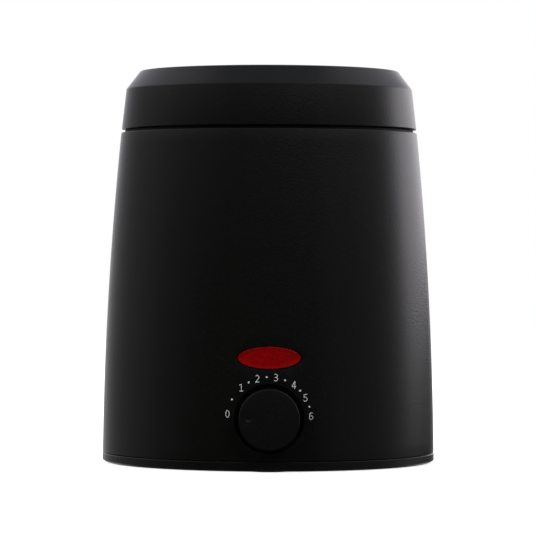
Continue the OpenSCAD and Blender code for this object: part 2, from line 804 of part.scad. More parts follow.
module lid() {
    ceiling_z = lid_top_z - lid_dish - lid_wall;
    inner_low_r = lid_r - lid_wall;
    inner_shoulder_r = lid_shoulder_r - lid_wall;
    shoulder_z = lid_top_z - lid_shoulder_h;
    shelf_z = lid_low_z + lip_shelf_t;
    dish_r = lid_top_r - lid_border_w;
    color(moulded)
        turned([
            [0, lid_top_z - lid_dish],
            [dish_r - lid_dish, lid_top_z - lid_dish],
            [dish_r, lid_top_z],
            [lid_top_r - edge_break, lid_top_z],
            [lid_top_r, lid_top_z - edge_break],
            [lid_shoulder_r - edge_break * 0.4, shoulder_z + edge_break],
            [lid_shoulder_r, shoulder_z - edge_break],
            [lid_r, lid_low_z + edge_break],
            [lid_r - edge_break, lid_low_z],
            [lip_out_r, lid_low_z],
            [lip_out_r, ledge_z + lip_clearance],
            [lip_in_r, ledge_z + lip_clearance],
            [lip_in_r, shelf_z],
            [inner_low_r, shelf_z],
            [inner_shoulder_r, shoulder_z - lid_wall / 2],
            [lid_top_r - lid_wall / 2, ceiling_z],
            [0, ceiling_z]
        ]);
}

// ---- Rim ring and well ----

module rim_ring() {
    bore_r = well_bore_r + ring_bore_gap;
    color(moulded)
        difference() {
            turned([
                [bore_r, ring_low_z],
                [ring_r, ring_low_z],
                [ring_r, casing_top_z],
                [ring_cap_r, casing_top_z],
                [ring_cap_r, ring_top_z],
                [ring_wall_r, ring_top_z],
                [ring_wall_r, ledge_z],
                [bore_r, ledge_z]
            ]);
            for (a = rim_screw_angles)
                translate(polar(rim_screw_circle_r, a, flange_low_z - lug_t))
                    cylinder(r = screw_r + thread_gap, h = rim_screw_l + thread_gap);
        }
}

module rim_screw(i) {
    color(steel)
        translate(polar(rim_screw_circle_r, rim_screw_angles[i - 1], flange_low_z - lug_t))
            pan_screw(rim_screw_l);
}

module well() {
    inner_r = well_corner_r - well_wall;
    shank_low_z = shield_z - nut_h - stud_tail;
    color(aluminium)
        difference() {
            union() {
                turned(concat(
                    [[0, well_floor_z]],
                    arc(well_bore_r - inner_r, well_floor_z + inner_r, inner_r, -90, 0),
                    [[well_bore_r, ring_low_z], [flange_r, ring_low_z]],
                    [[flange_r, flange_low_z], [well_r, flange_low_z]],
                    arc(well_r - well_corner_r, well_low_z + well_corner_r, well_corner_r, 0, -90),
                    [[0, well_low_z]]));
                for (a = stud_angles) {
                    translate(polar(stud_circle_r, a, shield_z + shield_t))
                        cylinder(r = stud_shoulder_r, h = shield_drop + well_wall / 2);
                    translate(polar(stud_circle_r, a, shank_low_z))
                        cylinder(r = screw_r, h = shield_z + shield_t + cut - shank_low_z);
                }
            }
            for (a = rim_screw_angles)
                translate(polar(rim_screw_circle_r, a, flange_low_z - cut))
                    cylinder(r = screw_r + hole_gap, h = well_wall + 2 * cut);
        }
}

module heater_band() {
    color([0.55, 0.5, 0.42]) {
        ring_sector(well_r + band_gap, heater_r, heater_low_z, heater_low_z + heater_h,
            270, 180 - heater_gap_angle / 2);
        for (side = [-1, 1])
            rotate([0, 0, 90 + side * heater_tab_angle]) {
                block_in_r = heater_r - heater_t / 2;
                translate([block_in_r, -spade_w / 2, heater_spade_top_z])
                    cube([heater_spade_r + spade_t - block_in_r, spade_w, heater_tab_h]);
                translate([heater_spade_r - spade_t / 2, -spade_w / 2, heater_spade_top_z - spade_l])
                    cube([spade_t, spade_w, spade_l + cut]);
            }
    }
}

module band_clamp() {
    in_r = strap_r - strap_t;
    color(steel)
        difference() {
            translate([0, 0, strap_mid_z - strap_w / 2])
                linear_extrude(height = strap_w)
                    difference() {
                        union() {
                            circle(r = strap_r, $fn = round_fn);
                            for (side = [-1, 1])
                                translate([side * (ear_gap + ear_t) / 2 - ear_t / 2, 0])
                                    square([ear_t, strap_r + ear_h]);
                        }
                        circle(r = in_r, $fn = round_fn);
                        translate([-ear_gap / 2, 0])
                            square([ear_gap, strap_r + ear_h + cut]);
                    }
            translate([-far / 2, clamp_screw_y, strap_mid_z])
                rotate([0, 90, 0])
                    cylinder(r = screw_r + hole_gap, h = far);
        }
}

module clamp_screw() {
    color(steel)
        translate([ear_gap / 2 + ear_t, clamp_screw_y, strap_mid_z])
            rotate([0, -90, 0])
                pan_screw(clamp_screw_l);
}

module clamp_nut() {
    color(steel)
        translate([-ear_gap / 2 - ear_t, clamp_screw_y, strap_mid_z])
            rotate([0, -90, 0])
                hex_nut();
}

module heat_shield() {
    color(aluminium)
        difference() {
            translate([0, 0, shield_z])
                cylinder(r = shield_r, h = shield_t, $fn = round_fn);
            for (a = stud_angles)
                translate(polar(stud_circle_r, a, shield_z - cut))
                    cylinder(r = screw_r + hole_gap, h = shield_t + 2 * cut);
            for (i = [0 : 5])
                translate(polar(shield_r / 2, i * 60, shield_z - cut))
                    cylinder(r = vent_r, h = shield_t + 2 * cut);
        }
}

module shield_nut(i) {
    tag = i == 1 ? spade_t : 0;
    color(steel)
        translate(polar(stud_circle_r, stud_angles[i - 1], shield_z - tag - nut_h))
            hex_nut();
}

function tag_centre() = polar(stud_circle_r, stud_angles[0], shield_z - spade_t);
function barrel_mouth() = tag_centre() - [0, tag_tail, barrel_r];

module earth_tag() {
    color(brass)
        translate(tag_centre())
            difference() {
                union() {
                    cylinder(r = tag_r, h = spade_t);
                    translate([-barrel_r, -tag_tail + barrel_l / 2, 0])
                        cube([2 * barrel_r, tag_tail - barrel_l / 2, spade_t]);
                    translate([0, barrel_l - tag_tail, -barrel_r])
                        rotate([90, 0, 0])
                            cylinder(r = barrel_r, h = barrel_l);
                    translate([-spade_t / 2, -tag_tail + barrel_l / 2, -barrel_r])
                        cube([spade_t, barrel_l / 2, barrel_r + spade_t / 2]);
                }
                translate([0, 0, -cut])
                    cylinder(r = screw_r + hole_gap, h = spade_t + 2 * cut);
                translate([0, cut / 2 - tag_tail + barrel_l - 2, -barrel_r])
                    rotate([90, 0, 0])
                        cylinder(r = lead_r + boot_gap, h = barrel_l);
            }
}

// ---- Casing ----

module casing_shell() {
    function shell_z(i) = casing_low_z + (casing_top_z - casing_low_z) * i / side_rings;
    outer = [for (i = [0 : side_rings - 1]) [side_r(shell_z(i)), shell_z(i)]];
    inner = [for (i = [side_rings : -1 : 0]) [side_r(shell_z(i)) - casing_wall, shell_z(i)]];
    turned(concat(
        outer,
        [[side_r(casing_top_z - edge_break), casing_top_z - edge_break]],
        [[casing_top_r - edge_break, casing_top_z]],
        inner));
}

module casing_additions() {
    lug_in_r = well_r + lug_gap;
    rib_low_z = base_post_low_z + casing_wall;
    on_front(pocket_back_r, knob_z)
        cylinder(r = pocket_r + pocket_wall, h = pocket_depth + pocket_wall);
    for (side = [-1, 1])
        on_front(bracket_front_r, knob_z)
            translate([side * post_pitch / 2, 0, 0])
                cylinder(r = post_r, h = knob_wall_r - bracket_front_r);
    for (a = rim_screw_angles)
        rotate([0, 0, a])
            translate([lug_in_r, -lug_w / 2, flange_low_z - lug_t])
                cube([casing_low_r - lug_in_r, lug_w, lug_t]);
    for (a = base_screw_angles)
        rotate([0, 0, a]) {
            translate([base_screw_circle_r, 0, casing_low_z])
                cylinder(r = base_post_r, h = base_post_h);
            translate([base_screw_circle_r, -casing_wall / 2, rib_low_z])
                cube([base_screw_setback, casing_wall, casing_low_z + base_post_h - rib_low_z]);
        }
}

module casing() {
    notch_half_w = bush_half_w + bush_gap;
    color(moulded)
        difference() {
            union() {
                casing_shell();
                intersection() {
                    casing_additions();
                    casing_core(casing_wall / 2);
                }
            }
            on_front(pocket_floor_r, knob_z)
                cylinder(r = pocket_r, h = pocket_depth + cut);
            on_front(pocket_back_r - cut, knob_z)
                cylinder(r = bushing_r, h = pocket_wall + 2 * cut);
            oval_bar(lens_half_w + lens_gap, lens_half_h + lens_gap, lamp_seat_back_r, lamp_wall_r + cut);
            for (side = [-1, 1])
                on_front(bracket_front_r - cut, knob_z)
                    translate([side * post_pitch / 2, 0, 0])
                        cylinder(r = screw_r + thread_gap,
                            h = cut + bracket_screw_l - bracket_t + thread_gap);
            for (a = rim_screw_angles)
                translate(polar(rim_screw_circle_r, a, flange_low_z - lug_t - cut))
                    cylinder(r = screw_r + hole_gap, h = lug_t + 2 * cut);
            for (a = base_screw_angles) {
                translate(polar(base_screw_circle_r, a, base_head_z))
                    cylinder(r = screw_r + thread_gap, h = base_screw_l + thread_gap);
                translate(polar(base_screw_circle_r, a, casing_low_z - cut))
                    cylinder(r = base_post_r + locator_gap, h = base_post_low_z - casing_low_z + cut);
            }
            translate([-notch_half_w, 0, casing_low_z - cut])
                cube([2 * notch_half_w, far, cord_z + notch_half_w - casing_low_z + cut]);
        }
}

// ---- Knob and thermostat ----

module knob() {
    bore_r = shaft_r + shaft_gap;
    face_in = knob_h - knob_wall;
    bore_h = face_in - bore_roof;
    color(moulded)
        on_front(knob_back_r, knob_z)
            rotate([0, 0, pointer_angle])
                difference() {
                    union() {
                        turned(concat(
                            [[0, face_in], [0, knob_h]],
                            arc(knob_r - knob_edge_r, knob_h - knob_edge_r, knob_edge_r, 90, 0),
                            [[knob_r, 0], [knob_r - knob_wall, 0], [knob_r - knob_wall, face_in]]));
                        cylinder(r = hub_r, h = face_in + knob_wall / 2);
                    }
                    intersection() {
                        translate([0, 0, -cut])
                            cylinder(r = bore_r, h = bore_h + cut);
                        translate([-far / 2, shaft_flat + leaf_gap - far, -far / 2])
                            cube([far, far, far]);
                    }
                    translate([dimple_offset, 0, knob_h - dimple_depth + dimple_sphere_r()])
                        sphere(r = dimple_sphere_r());
                }
}

// Radius of the ball that leaves a dimple of the wanted width and depth
function dimple_sphere_r() = (pow(dimple_r, 2) + pow(dimple_depth, 2)) / (2 * dimple_depth);

module thermostat_shaft() {
    seat_r = thermostat_front_r - shaft_seat;
    color(steel)
        on_front(seat_r, knob_z)
            rotate([0, 0, pointer_angle])
                difference() {
                    cylinder(r = shaft_r, h = shaft_tip_r - seat_r);
                    translate([-far / 2, shaft_flat, shaft_tip_r - seat_r - leaf_l - flat_spare])
                        cube([far, far, far]);
                }
}

module knob_spring() {
    color(steel)
        on_front(shaft_tip_r - leaf_l, knob_z)
            rotate([0, 0, pointer_angle])
                translate([-leaf_w / 2, shaft_flat + (leaf_gap - leaf_t) / 2, 0])
                    cube([leaf_w, leaf_t, leaf_l]);
}

module thermostat_body() {
    corner = 2;
    w = thermostat_w / 2;
    h = thermostat_h / 2;
    color([0.8, 0.77, 0.68])
        difference() {
            union() {
                on_front(thermostat_back_r, knob_z)
                    linear_extrude(height = thermostat_d)
                        polygon([
                            [corner - w, -h], [w - corner, -h], [w, corner - h], [w, h - corner],
                            [w - corner, h], [corner - w, h], [-w, h - corner], [-w, corner - h]
                        ]);
                on_front(thermostat_front_r - cut, knob_z)
                    cylinder(r = bushing_r, h = bushing_l + cut);
                for (way = [-1, 0, 1])
                    on_front(thermostat_back_r - spade_l, spade_z)
                        translate([way * spade_pitch - spade_w / 2, -spade_t / 2, 0])
                            cube([spade_w, spade_t, spade_l + cut]);
                translate([capillary_x, capillary_y, knob_z + h - cut])
                    cylinder(r = boss_r, h = cut + boss_h);
            }
            on_front(thermostat_front_r - shaft_seat - shaft_end_gap, knob_z)
                cylinder(r = shaft_r + shaft_gap, h = far);
            for (side = [-1, 1])
                on_front(thermostat_front_r - thermostat_screw_l, knob_z)
                    translate([side * thermostat_pitch / 2, 0, 0])
                        cylinder(r = screw_r + thread_gap, h = thermostat_screw_l + cut);
        }
}

module thermostat_bracket() {
    color(steel)
        difference() {
            on_front(thermostat_front_r, knob_z)
                translate([-bracket_l / 2, -bracket_h / 2, 0])
                    cube([bracket_l, bracket_h, bracket_t]);
            on_front(thermostat_front_r - cut, knob_z) {
                cylinder(r = bushing_r + hole_gap, h = bracket_t + 2 * cut);
                for (side = [-1, 1])
                    for (x = [thermostat_pitch / 2, post_pitch / 2])
                        translate([side * x, 0, 0])
                            cylinder(r = screw_r + hole_gap, h = bracket_t + 2 * cut);
            }
        }
}

module thermostat_screw(side) {
    color(steel)
        translate([side * thermostat_pitch / 2, -bracket_front_r, knob_z])
            rotate([-90, 0, 0])
                pan_screw(thermostat_screw_l);
}

module bracket_screw(side) {
    color(steel)
        translate([side * post_pitch / 2, -thermostat_front_r, knob_z])
            rotate([90, 0, 0])
                pan_screw(bracket_screw_l);
}

// ---- Capillary and fuse ----

module capillary_bulb() {
    color(copper)
        translate([0, -bulb_offset, bulb_z])
            rotate([0, 90, 0]) {
                cylinder(r = bulb_r, h = bulb_l, center = true);
                for (end = [-1, 1])
                    translate([0, 0, end * bulb_l / 2])
                        sphere(r = bulb_r);
            }
}

module capillary_tube() {
    top_z = knob_z + thermostat_h / 2 + boss_h;
    color(copper)
        wire([
            [capillary_x, capillary_y, top_z + thread_gap],
            [capillary_x, capillary_y, top_z + 1.5],
            [capillary_x, capillary_y, top_z + 2.8],
            polar(edge_route_r, -70, shield_z + shield_t + 1),
            polar(edge_route_r - 2, -52, bulb_z),
            [bulb_l / 2 + bulb_r + 8, -bulb_offset - 8, bulb_z],
            [bulb_l / 2 + bulb_r + 5, -bulb_offset - 1, bulb_z],
            [bulb_l / 2 + bulb_r, -bulb_offset, bulb_z]
        ], capillary_r);
}

module bulb_clip(side) {
    color(steel)
        translate([side * bulb_l / 3, -bulb_offset, well_low_z])
            strap_clip(bulb_r, clip_l);
}

module thermal_fuse() {
    color([0.85, 0.85, 0.82])
        translate([0, fuse_offset, fuse_z])
            rotate([0, 90, 0]) {
                cylinder(r = fuse_r, h = fuse_l, center = true);
                cylinder(r = fuse_wire_r, h = fuse_l + 2 * fuse_wire_l, center = true);
            }
}

module fuse_clip() {
    color(steel)
        translate([0, fuse_offset, well_low_z])
            strap_clip(fuse_r, clip_l);
}

// ---- Indicator lamp ----

module oval_bar(half_w, half_h, back_r, front_r) {
    on_front(back_r, lamp_z)
        linear_extrude(height = front_r - back_r)
            polygon(oval(half_w, half_h));
}

module lamp_lens() {
    front_r = lamp_wall_r + lens_proud + cut;
    color([0.75, 0.02, 0.03])
        difference() {
            intersection() {
                oval_bar(lens_half_w, lens_half_h, lens_back_r, front_r);
                casing_core(-lens_proud);
            }
            intersection() {
                oval_bar(lens_half_w - lens_wall, lens_half_h - lens_wall, lens_back_r - cut, front_r);
                casing_core(lens_wall - lens_proud);
            }
        }
}

module lamp_seat() {
    neon_space = neon_r + neon_gap;
    color([0.85, 0.85, 0.8])
        difference() {
            union() {
                oval_bar(lens_half_w - lamp_seat_gap, lens_half_h - lamp_seat_gap,
                    lamp_seat_back_r, lens_back_r);
                translate([-lamp_tail_half_w, -lamp_seat_back_r - cut, lamp_z - lamp_tail_half_h])
                    cube([2 * lamp_tail_half_w, lamp_tail_d + cut, 2 * lamp_tail_half_h]);
                for (side = [-1, 1])
                    translate([side * lamp_spade_x, -lamp_spade_r, lamp_spade_low_z])
                        translate([-spade_w / 2, -spade_t / 2, 0])
                            cube([spade_w, spade_t, spade_l + cut]);
            }
            translate([-neon_l / 2 - neon_gap, -lens_back_r - cut, lamp_z - neon_space])
                cube([neon_l + 2 * neon_gap, neon_space + cut, 2 * neon_space]);
        }
}

module neon_bulb() {
    straight = neon_l - 2 * neon_r;
    color([0.95, 0.6, 0.4])
        translate([0, -neon_centre_r, lamp_z])
            rotate([0, 90, 0]) {
                cylinder(r = neon_r, h = straight, center = true);
                for (end = [-1, 1])
                    translate([0, 0, end * straight / 2])
                        sphere(r = neon_r);
            }
}

module lamp_plate() {
    color(steel)
        difference() {
            on_front(plate_front_r - plate_t, lamp_z)
                translate([-plate_half_l, -plate_half_h, 0])
                    cube([2 * plate_half_l, 2 * plate_half_h, plate_t]);
            oval_bar(lens_half_w + plate_gap, lens_half_h + plate_gap,
                plate_front_r - plate_t - cut, plate_front_r + cut);
        }
}

// ---- Terminal block and leads ----

module terminal_block() {
    w = 2 * (way_pitch + block_margin);
    color([0.9, 0.9, 0.88])
        translate([0, block_offset, base_floor_z])
            difference() {
                translate([-w / 2, -block_d / 2, 0])
                    cube([w, block_d, block_h]);
                for (way = [-1, 0, 1]) {
                    translate([way * way_pitch, block_d / 2 + cut, way_rise])
                        rotate([90, 0, 0])
                            cylinder(r = way_r, h = block_d + 2 * cut);
                    for (end = [-1, 1])
                        translate([way * way_pitch, end * block_d / 4, way_rise])
                            cylinder(r = way_screw_r + thread_gap, h = block_h);
                }
                for (peg = [-1, 1])
                    translate([peg * way_pitch / 2, 0, -cut])
                        cylinder(r = peg_r + hole_gap, h = block_h + 2 * cut);
            }
}

module terminal_screws() {
    length = block_h - way_rise - way_r - way_screw_sink;
    color(brass)
        translate([0, block_offset, base_floor_z + way_rise + way_r])
            for (way = [-1, 0, 1])
                for (end = [-1, 1])
                    translate([way * way_pitch, end * block_d / 4, 0])
                        difference() {
                            cylinder(r = way_screw_r, h = length);
                            translate([-way_r, -recess_w / 2, length - recess_d])
                                cube([2 * way_r, recess_w, recess_d + cut]);
                        }
}

// Where a lead enters a way of the terminal block
function way_end(way, lift = 0) = [way * way_pitch, block_front_y + lead_seat, way_z + lift];
function way_mouth(way, lift = 0) = [way * way_pitch, block_front_y + 1, way_z + lift];
function way_out(way, lift = 0) = [way * way_pitch, block_front_y - 4, way_z + lift];

// Where a lead leaves a connector on the thermostat, the lamp and the heater
function thermostat_end(way) = [way * spade_pitch, boot_l - thermostat_back_r, spade_z];
function lamp_end(side) = [side * lamp_spade_x, -lamp_spade_r, lamp_spade_low_z + spade_l - boot_l];
function heater_end(side) = polar(heater_spade_r, 90 + side * heater_tab_angle, heater_spade_top_z - boot_l);
function fuse_end(side) = [side * (fuse_l / 2 + fuse_wire_l), fuse_offset, fuse_z];

module thermostat_boot(way) {
    translate([way * spade_pitch, -thermostat_back_r, spade_z])
        rotate([-90, 0, 0])
            boot();
}

module lamp_boot(side) {
    translate([side * lamp_spade_x, -lamp_spade_r, lamp_spade_low_z + spade_l])
        rotate([180, 0, 0])
            boot();
}

module heater_boot(side) {
    rotate([0, 0, 90 + side * heater_tab_angle])
        translate([heater_spade_r, 0, heater_spade_top_z])
            rotate([180, 0, 90])
                boot();
}

module lead_live() {
    a = way_out(-1);
    b = thermostat_end(-1);
    color([0.45, 0.25, 0.12]) {
        wire([
            way_end(-1),
            way_mouth(-1),
            a,
            a + [0, -8, 0],
            (a + b) / 2 + [-2, 0, -1],
            b + [0, 8, 0],
            b + [0, -1, 0]
        ], lead_r);
        thermostat_boot(-1);
    }
}

module lead_switched() {
    b = thermostat_end(0);
    f = fuse_end(-1);
    color([0.45, 0.25, 0.12]) {
        wire([
            b + [0, -1, 0],
            b + [0, 6, 2],
            [-6, 0, knob_z + 8],
            polar(edge_route_r - 14, 172, shield_z - 7),
            polar(edge_route_r, 165, shield_z - 2),
            polar(edge_route_r, 161, shield_z + shield_t + 3),
            [-lead_turn_x, f.y, under_well_z],
            [f.x - 12, f.y, under_well_z],
            f + [-0.05, 0, 0]
        ], lead_r);
        thermostat_boot(0);
    }
}

module lead_heater() {
    f = fuse_end(1);
    e = heater_end(-1);
    color([0.45, 0.25, 0.12]) {
        wire([
            f + [0.05, 0, 0],
            [f.x + 12, f.y, under_well_z],
            [lead_turn_x, f.y, under_well_z],
            polar(edge_route_r + 6, 34, well_low_z + 1),
            polar(edge_route_r + 9, 50, well_low_z + 4),
            e + [3, 1, -5],
            e + [0, 0, 1]
        ], lead_r);
        heater_boot(-1);
    }
}

module lead_neutral() {
    a = way_out(0, -0.9);
    e = heater_end(1);
    color([0.2, 0.35, 0.7]) {
        wire([
            way_end(0, -0.9),
            way_mouth(0, -0.9),
            a,
            a + [-4, -7, 4],
            [-thermostat_w / 2 - 6, block_front_y - 5, knob_z + 4],
            polar(edge_route_r + 3, 124, shield_z - 3),
            polar(edge_route_r + 7, 116, well_low_z + 1),
            e + [-0.5, 0.5, -4],
            e + [0, 0, 1]
        ], lead_r);
        heater_boot(1);
    }
}

module lead_earth() {
    a = way_out(1);
    b = barrel_mouth();
    color([0.35, 0.6, 0.25])
        wire([
            way_end(1),
            way_mouth(1),
            a,
            a + [1, -8, 4],
            [b.x - 4, b.y - 10, knob_z],
            [b.x, b.y - 9, b.z - 8],
            [b.x, b.y - 4, b.z - 0.8],
            [b.x, b.y, b.z],
            [b.x, b.y + barrel_l / 2 - 0.5, b.z]
        ], lead_r);
}

module lamp_leads() {
    side_x = thermostat_w / 2 + 6;
    clear_z = knob_z + bracket_h / 2 + 3.5;
    c = thermostat_end(1);
    n = way_out(0, 1.3);
    color([0.15, 0.15, 0.15]) {
        wire([
            c + [0, -1, 0],
            c + [1, 4, 0],
            [side_x, c.y + 1, c.z + 3],
            [side_x + 3, -thermostat_back_r - 4, knob_z],
            [side_x + 1, -thermostat_front_r + 8, clear_z],
            [side_x - 3, -bracket_front_r - 2, clear_z],
            lamp_end(1) + [5, -0.5, -2.5],
            lamp_end(1) + [0, 0, -2],
            lamp_end(1) + [0, 0, 1]
        ], lamp_lead_r);
        wire([
            way_end(0, 1.3),
            way_mouth(0, 1.3),
            n,
            n + [0, -12, 6],
            [-way_pitch - 6, 2, knob_z - 2],
            [-side_x - 3, -thermostat_back_r - 4, knob_z],
            [-side_x - 1, -thermostat_front_r + 8, clear_z],
            [3 - side_x, -bracket_front_r - 2, clear_z],
            lamp_end(-1) + [-5, -0.5, -2.5],
            lamp_end(-1) + [0, 0, -2],
            lamp_end(-1) + [0, 0, 1]
        ], lamp_lead_r);
        thermostat_boot(1);
        for (side = [-1, 1])
            lamp_boot(side);
    }
}

// ---- Base ----

module at_feet() {
    for (a = foot_angles)
        translate(polar(foot_circle_r, a, 0))
            children();
}

module cooling_slots() {
    for (side = [-1, 1])
        for (i = [0 : slot_count - 1]) {
            y = (i - (slot_count - 1) / 2) * slot_pitch;
            translate([side * (slot_l / 2 + slot_inset) - slot_l / 2, y - slot_w / 2, 0])
                cube([slot_l, slot_w, far]);
        }
}

module base_plate() {
    inner_r = base_r - casing_wall;
    rib_r = casing_low_r - casing_wall - locator_gap;
    color(moulded)
        difference() {
            union() {
                turned([
                    [0, base_low_z],
                    [base_r - base_bevel_w, base_low_z],
                    [base_r, base_low_z + base_bevel_h],
                    [base_r, band_top_z - edge_break],
                    [base_r - edge_break, band_top_z],
                    [inner_r, band_top_z],
                    [inner_r, base_floor_z],
                    [0, base_floor_z]
                ]);
                for (a = locator_angles)
                    ring_sector(rib_r - locator_t, rib_r,
                        base_floor_z - cut, base_floor_z + locator_h, a, locator_angle);
                for (a = base_screw_angles)
                    translate(polar(base_screw_circle_r, a, base_floor_z - cut))
                        cylinder(r = base_post_r, h = base_post_low_z - base_floor_z + cut);
                for (peg = [-1, 1])
                    translate([peg * way_pitch / 2, block_offset, base_floor_z - cut])
                        cylinder(r = peg_r, h = block_h + cut);
            }
            at_feet()
                cylinder(r = foot_r + foot_gap, h = base_low_z + foot_seat);
            for (a = base_screw_angles)
                translate(polar(base_screw_circle_r, a, 0)) {
                    cylinder(r = screw_head_r + head_gap, h = base_head_z);
                    cylinder(r = screw_r + hole_gap, h = far);
                }
            cooling_slots();
        }
}

module base_screw(i) {
    color(steel)
        translate(polar(base_screw_circle_r, base_screw_angles[i - 1], base_head_z))
            pan_screw(base_screw_l);
}

module foot(i) {
    bevel = foot_proud / 2;
    color([0.12, 0.12, 0.12])
        translate(polar(foot_circle_r, foot_angles[i - 1], 0)) {
            cylinder(r1 = foot_r - bevel, r2 = foot_r, h = bevel);
            translate([0, 0, bevel])
                cylinder(r = foot_r, h = foot_proud + foot_seat - bevel);
        }
}

module cord_bush() {
    neck_top_z = cord_z + bush_half_w;
    flange_half = bush_half_w + bush_flange_w;
    flange_top_z = cord_z + flange_half;
    low_z = casing_low_z;
    rear_in_y = rear_wall_r - casing_wall - bush_flange_t - bush_sag;
    color(moulded)
        difference() {
            union() {
                translate([-bush_half_w, rear_in_y, low_z])
                    cube([2 * bush_half_w, rear_wall_r + bush_sag - rear_in_y, neck_top_z - low_z]);
                intersection() {
                    translate([-flange_half, rear_in_y, low_z])
                        cube([2 * flange_half, far, flange_top_z - low_z]);
                    casing_core(casing_wall + bush_gap);
                }
                difference() {
                    translate([-flange_half, rear_wall_r - bush_sag, low_z])
                        cube([2 * flange_half, bush_sag + bush_gap + bush_flange_t, flange_top_z - low_z]);
                    casing_core(-bush_gap);
                }
                translate([0, rear_wall_r, cord_z])
                    rotate([-90, 0, 0])
                        cylinder(r = bush_r, h = bush_proud);
            }
            translate([0, rear_in_y - cut, cord_z])
                rotate([-90, 0, 0])
                    cylinder(r = cord_r, h = far);
        }
}

lid();
wax_pot();
pot_handle(0);  // pot_handle_1
pot_handle(1);  // pot_handle_2
pot_rivet(1);  // pot_rivet_1
pot_rivet(2);  // pot_rivet_2
pot_rivet(3);  // pot_rivet_3
pot_rivet(4);  // pot_rivet_4
rim_ring();
rim_screw(1);  // rim_screw_1
rim_screw(2);  // rim_screw_2
rim_screw(3);  // rim_screw_3
casing();
well();
heater_band();
band_clamp();
clamp_screw();
clamp_nut();
heat_shield();
shield_nut(1);  // shield_nut_1
shield_nut(2);  // shield_nut_2
shield_nut(3);  // shield_nut_3
earth_tag();
knob();
knob_spring();
thermostat_shaft();
thermostat_body();
thermostat_bracket();
thermostat_screw(-1);  // thermostat_screw_1
thermostat_screw(1);  // thermostat_screw_2
bracket_screw(-1);  // bracket_screw_1
bracket_screw(1);  // bracket_screw_2
capillary_tube();
capillary_bulb();
bulb_clip(-1);  // bulb_clip_1
bulb_clip(1);  // bulb_clip_2
thermal_fuse();
fuse_clip();
lamp_lens();
lamp_seat();
neon_bulb();
lamp_plate();
terminal_block();
terminal_screws();
lead_live();
lead_switched();
lead_heater();
lead_neutral();
lead_earth();
lamp_leads();
base_plate();
base_screw(1);  // base_screw_1
base_screw(2);  // base_screw_2
base_screw(3);  // base_screw_3
base_screw(4);  // base_screw_4
foot(1);  // foot_1
foot(2);  // foot_2
foot(3);  // foot_3
foot(4);  // foot_4
cord_bush();
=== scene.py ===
import json
from math import asin, atan2, cos, dist, hypot, pi, radians, sin, sqrt, tan, tau

import bmesh
import bpy
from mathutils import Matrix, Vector
from mathutils.geometry import delaunay_2d_cdt


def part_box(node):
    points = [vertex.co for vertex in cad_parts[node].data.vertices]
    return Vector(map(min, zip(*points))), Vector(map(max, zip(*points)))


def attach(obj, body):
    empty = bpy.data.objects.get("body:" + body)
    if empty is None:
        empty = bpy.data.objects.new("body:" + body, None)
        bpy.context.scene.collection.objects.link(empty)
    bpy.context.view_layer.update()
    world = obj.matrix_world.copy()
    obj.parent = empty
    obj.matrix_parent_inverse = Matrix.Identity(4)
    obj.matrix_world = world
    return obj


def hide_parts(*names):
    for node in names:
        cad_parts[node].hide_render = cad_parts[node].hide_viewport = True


bl_info = {
    "name": "Wax Warmer Pot",
    "version": (1, 0, 0),
    "blender": (4, 5, 0),
    "location": "View3D > Sidebar > Wax Warmer",
    "description": "Builds the visible pieces, the finishes and the stage of a wax warmer pot",
    "category": "Object",
}

MM = 0.001
ROUND_STEPS = 144  # points round the large turned pieces
HOLE_STEPS = 96  # points round the recess, the lens and the knob
SMALL_STEPS = 32  # points round the screws' holes and posts
ROWS = 26  # rows of faces up the casing's side
MERGE = 1e-6  # points nearer than this become one
SOFT = radians(30)  # edges flatter than this are shaded smooth

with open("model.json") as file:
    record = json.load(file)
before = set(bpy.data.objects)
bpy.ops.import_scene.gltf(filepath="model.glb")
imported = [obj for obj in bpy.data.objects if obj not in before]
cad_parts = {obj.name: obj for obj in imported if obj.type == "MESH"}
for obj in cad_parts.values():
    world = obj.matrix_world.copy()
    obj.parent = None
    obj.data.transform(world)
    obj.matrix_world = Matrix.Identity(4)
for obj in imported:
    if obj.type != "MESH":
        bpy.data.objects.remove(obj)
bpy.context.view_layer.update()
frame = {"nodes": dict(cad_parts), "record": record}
casing_low, casing_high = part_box("casing")
lid_low, lid_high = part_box("lid")
knob_low, knob_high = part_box("knob")
lens_low, lens_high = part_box("lamp_lens")
bush_low, bush_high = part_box("cord_bush")
knob_r, knob_z = (knob_high.x - knob_low.x) / 2, (knob_low.z + knob_high.z) / 2
lens_w, lens_h = (lens_high.x - lens_low.x) / 2, (lens_high.z - lens_low.z) / 2
lens_z = (lens_low.z + lens_high.z) / 2


# ---- Settings ----

def share(name, description, default, precision=3, **more):
    """A plain number."""
    return bpy.props.FloatProperty(
        name=name, description=description, default=default, precision=precision, **more
    )


def mm(name, description, default):
    """A size, given in millimetres."""
    return share(name, description, default * MM, 5, unit="LENGTH")


def paint(name, description, default):
    """A colour, as Blender's linear red, green and blue."""
    return bpy.props.FloatVectorProperty(
        name=name, description=description, default=default,
        subtype="COLOR", size=3, min=0.0, max=1.0,
    )


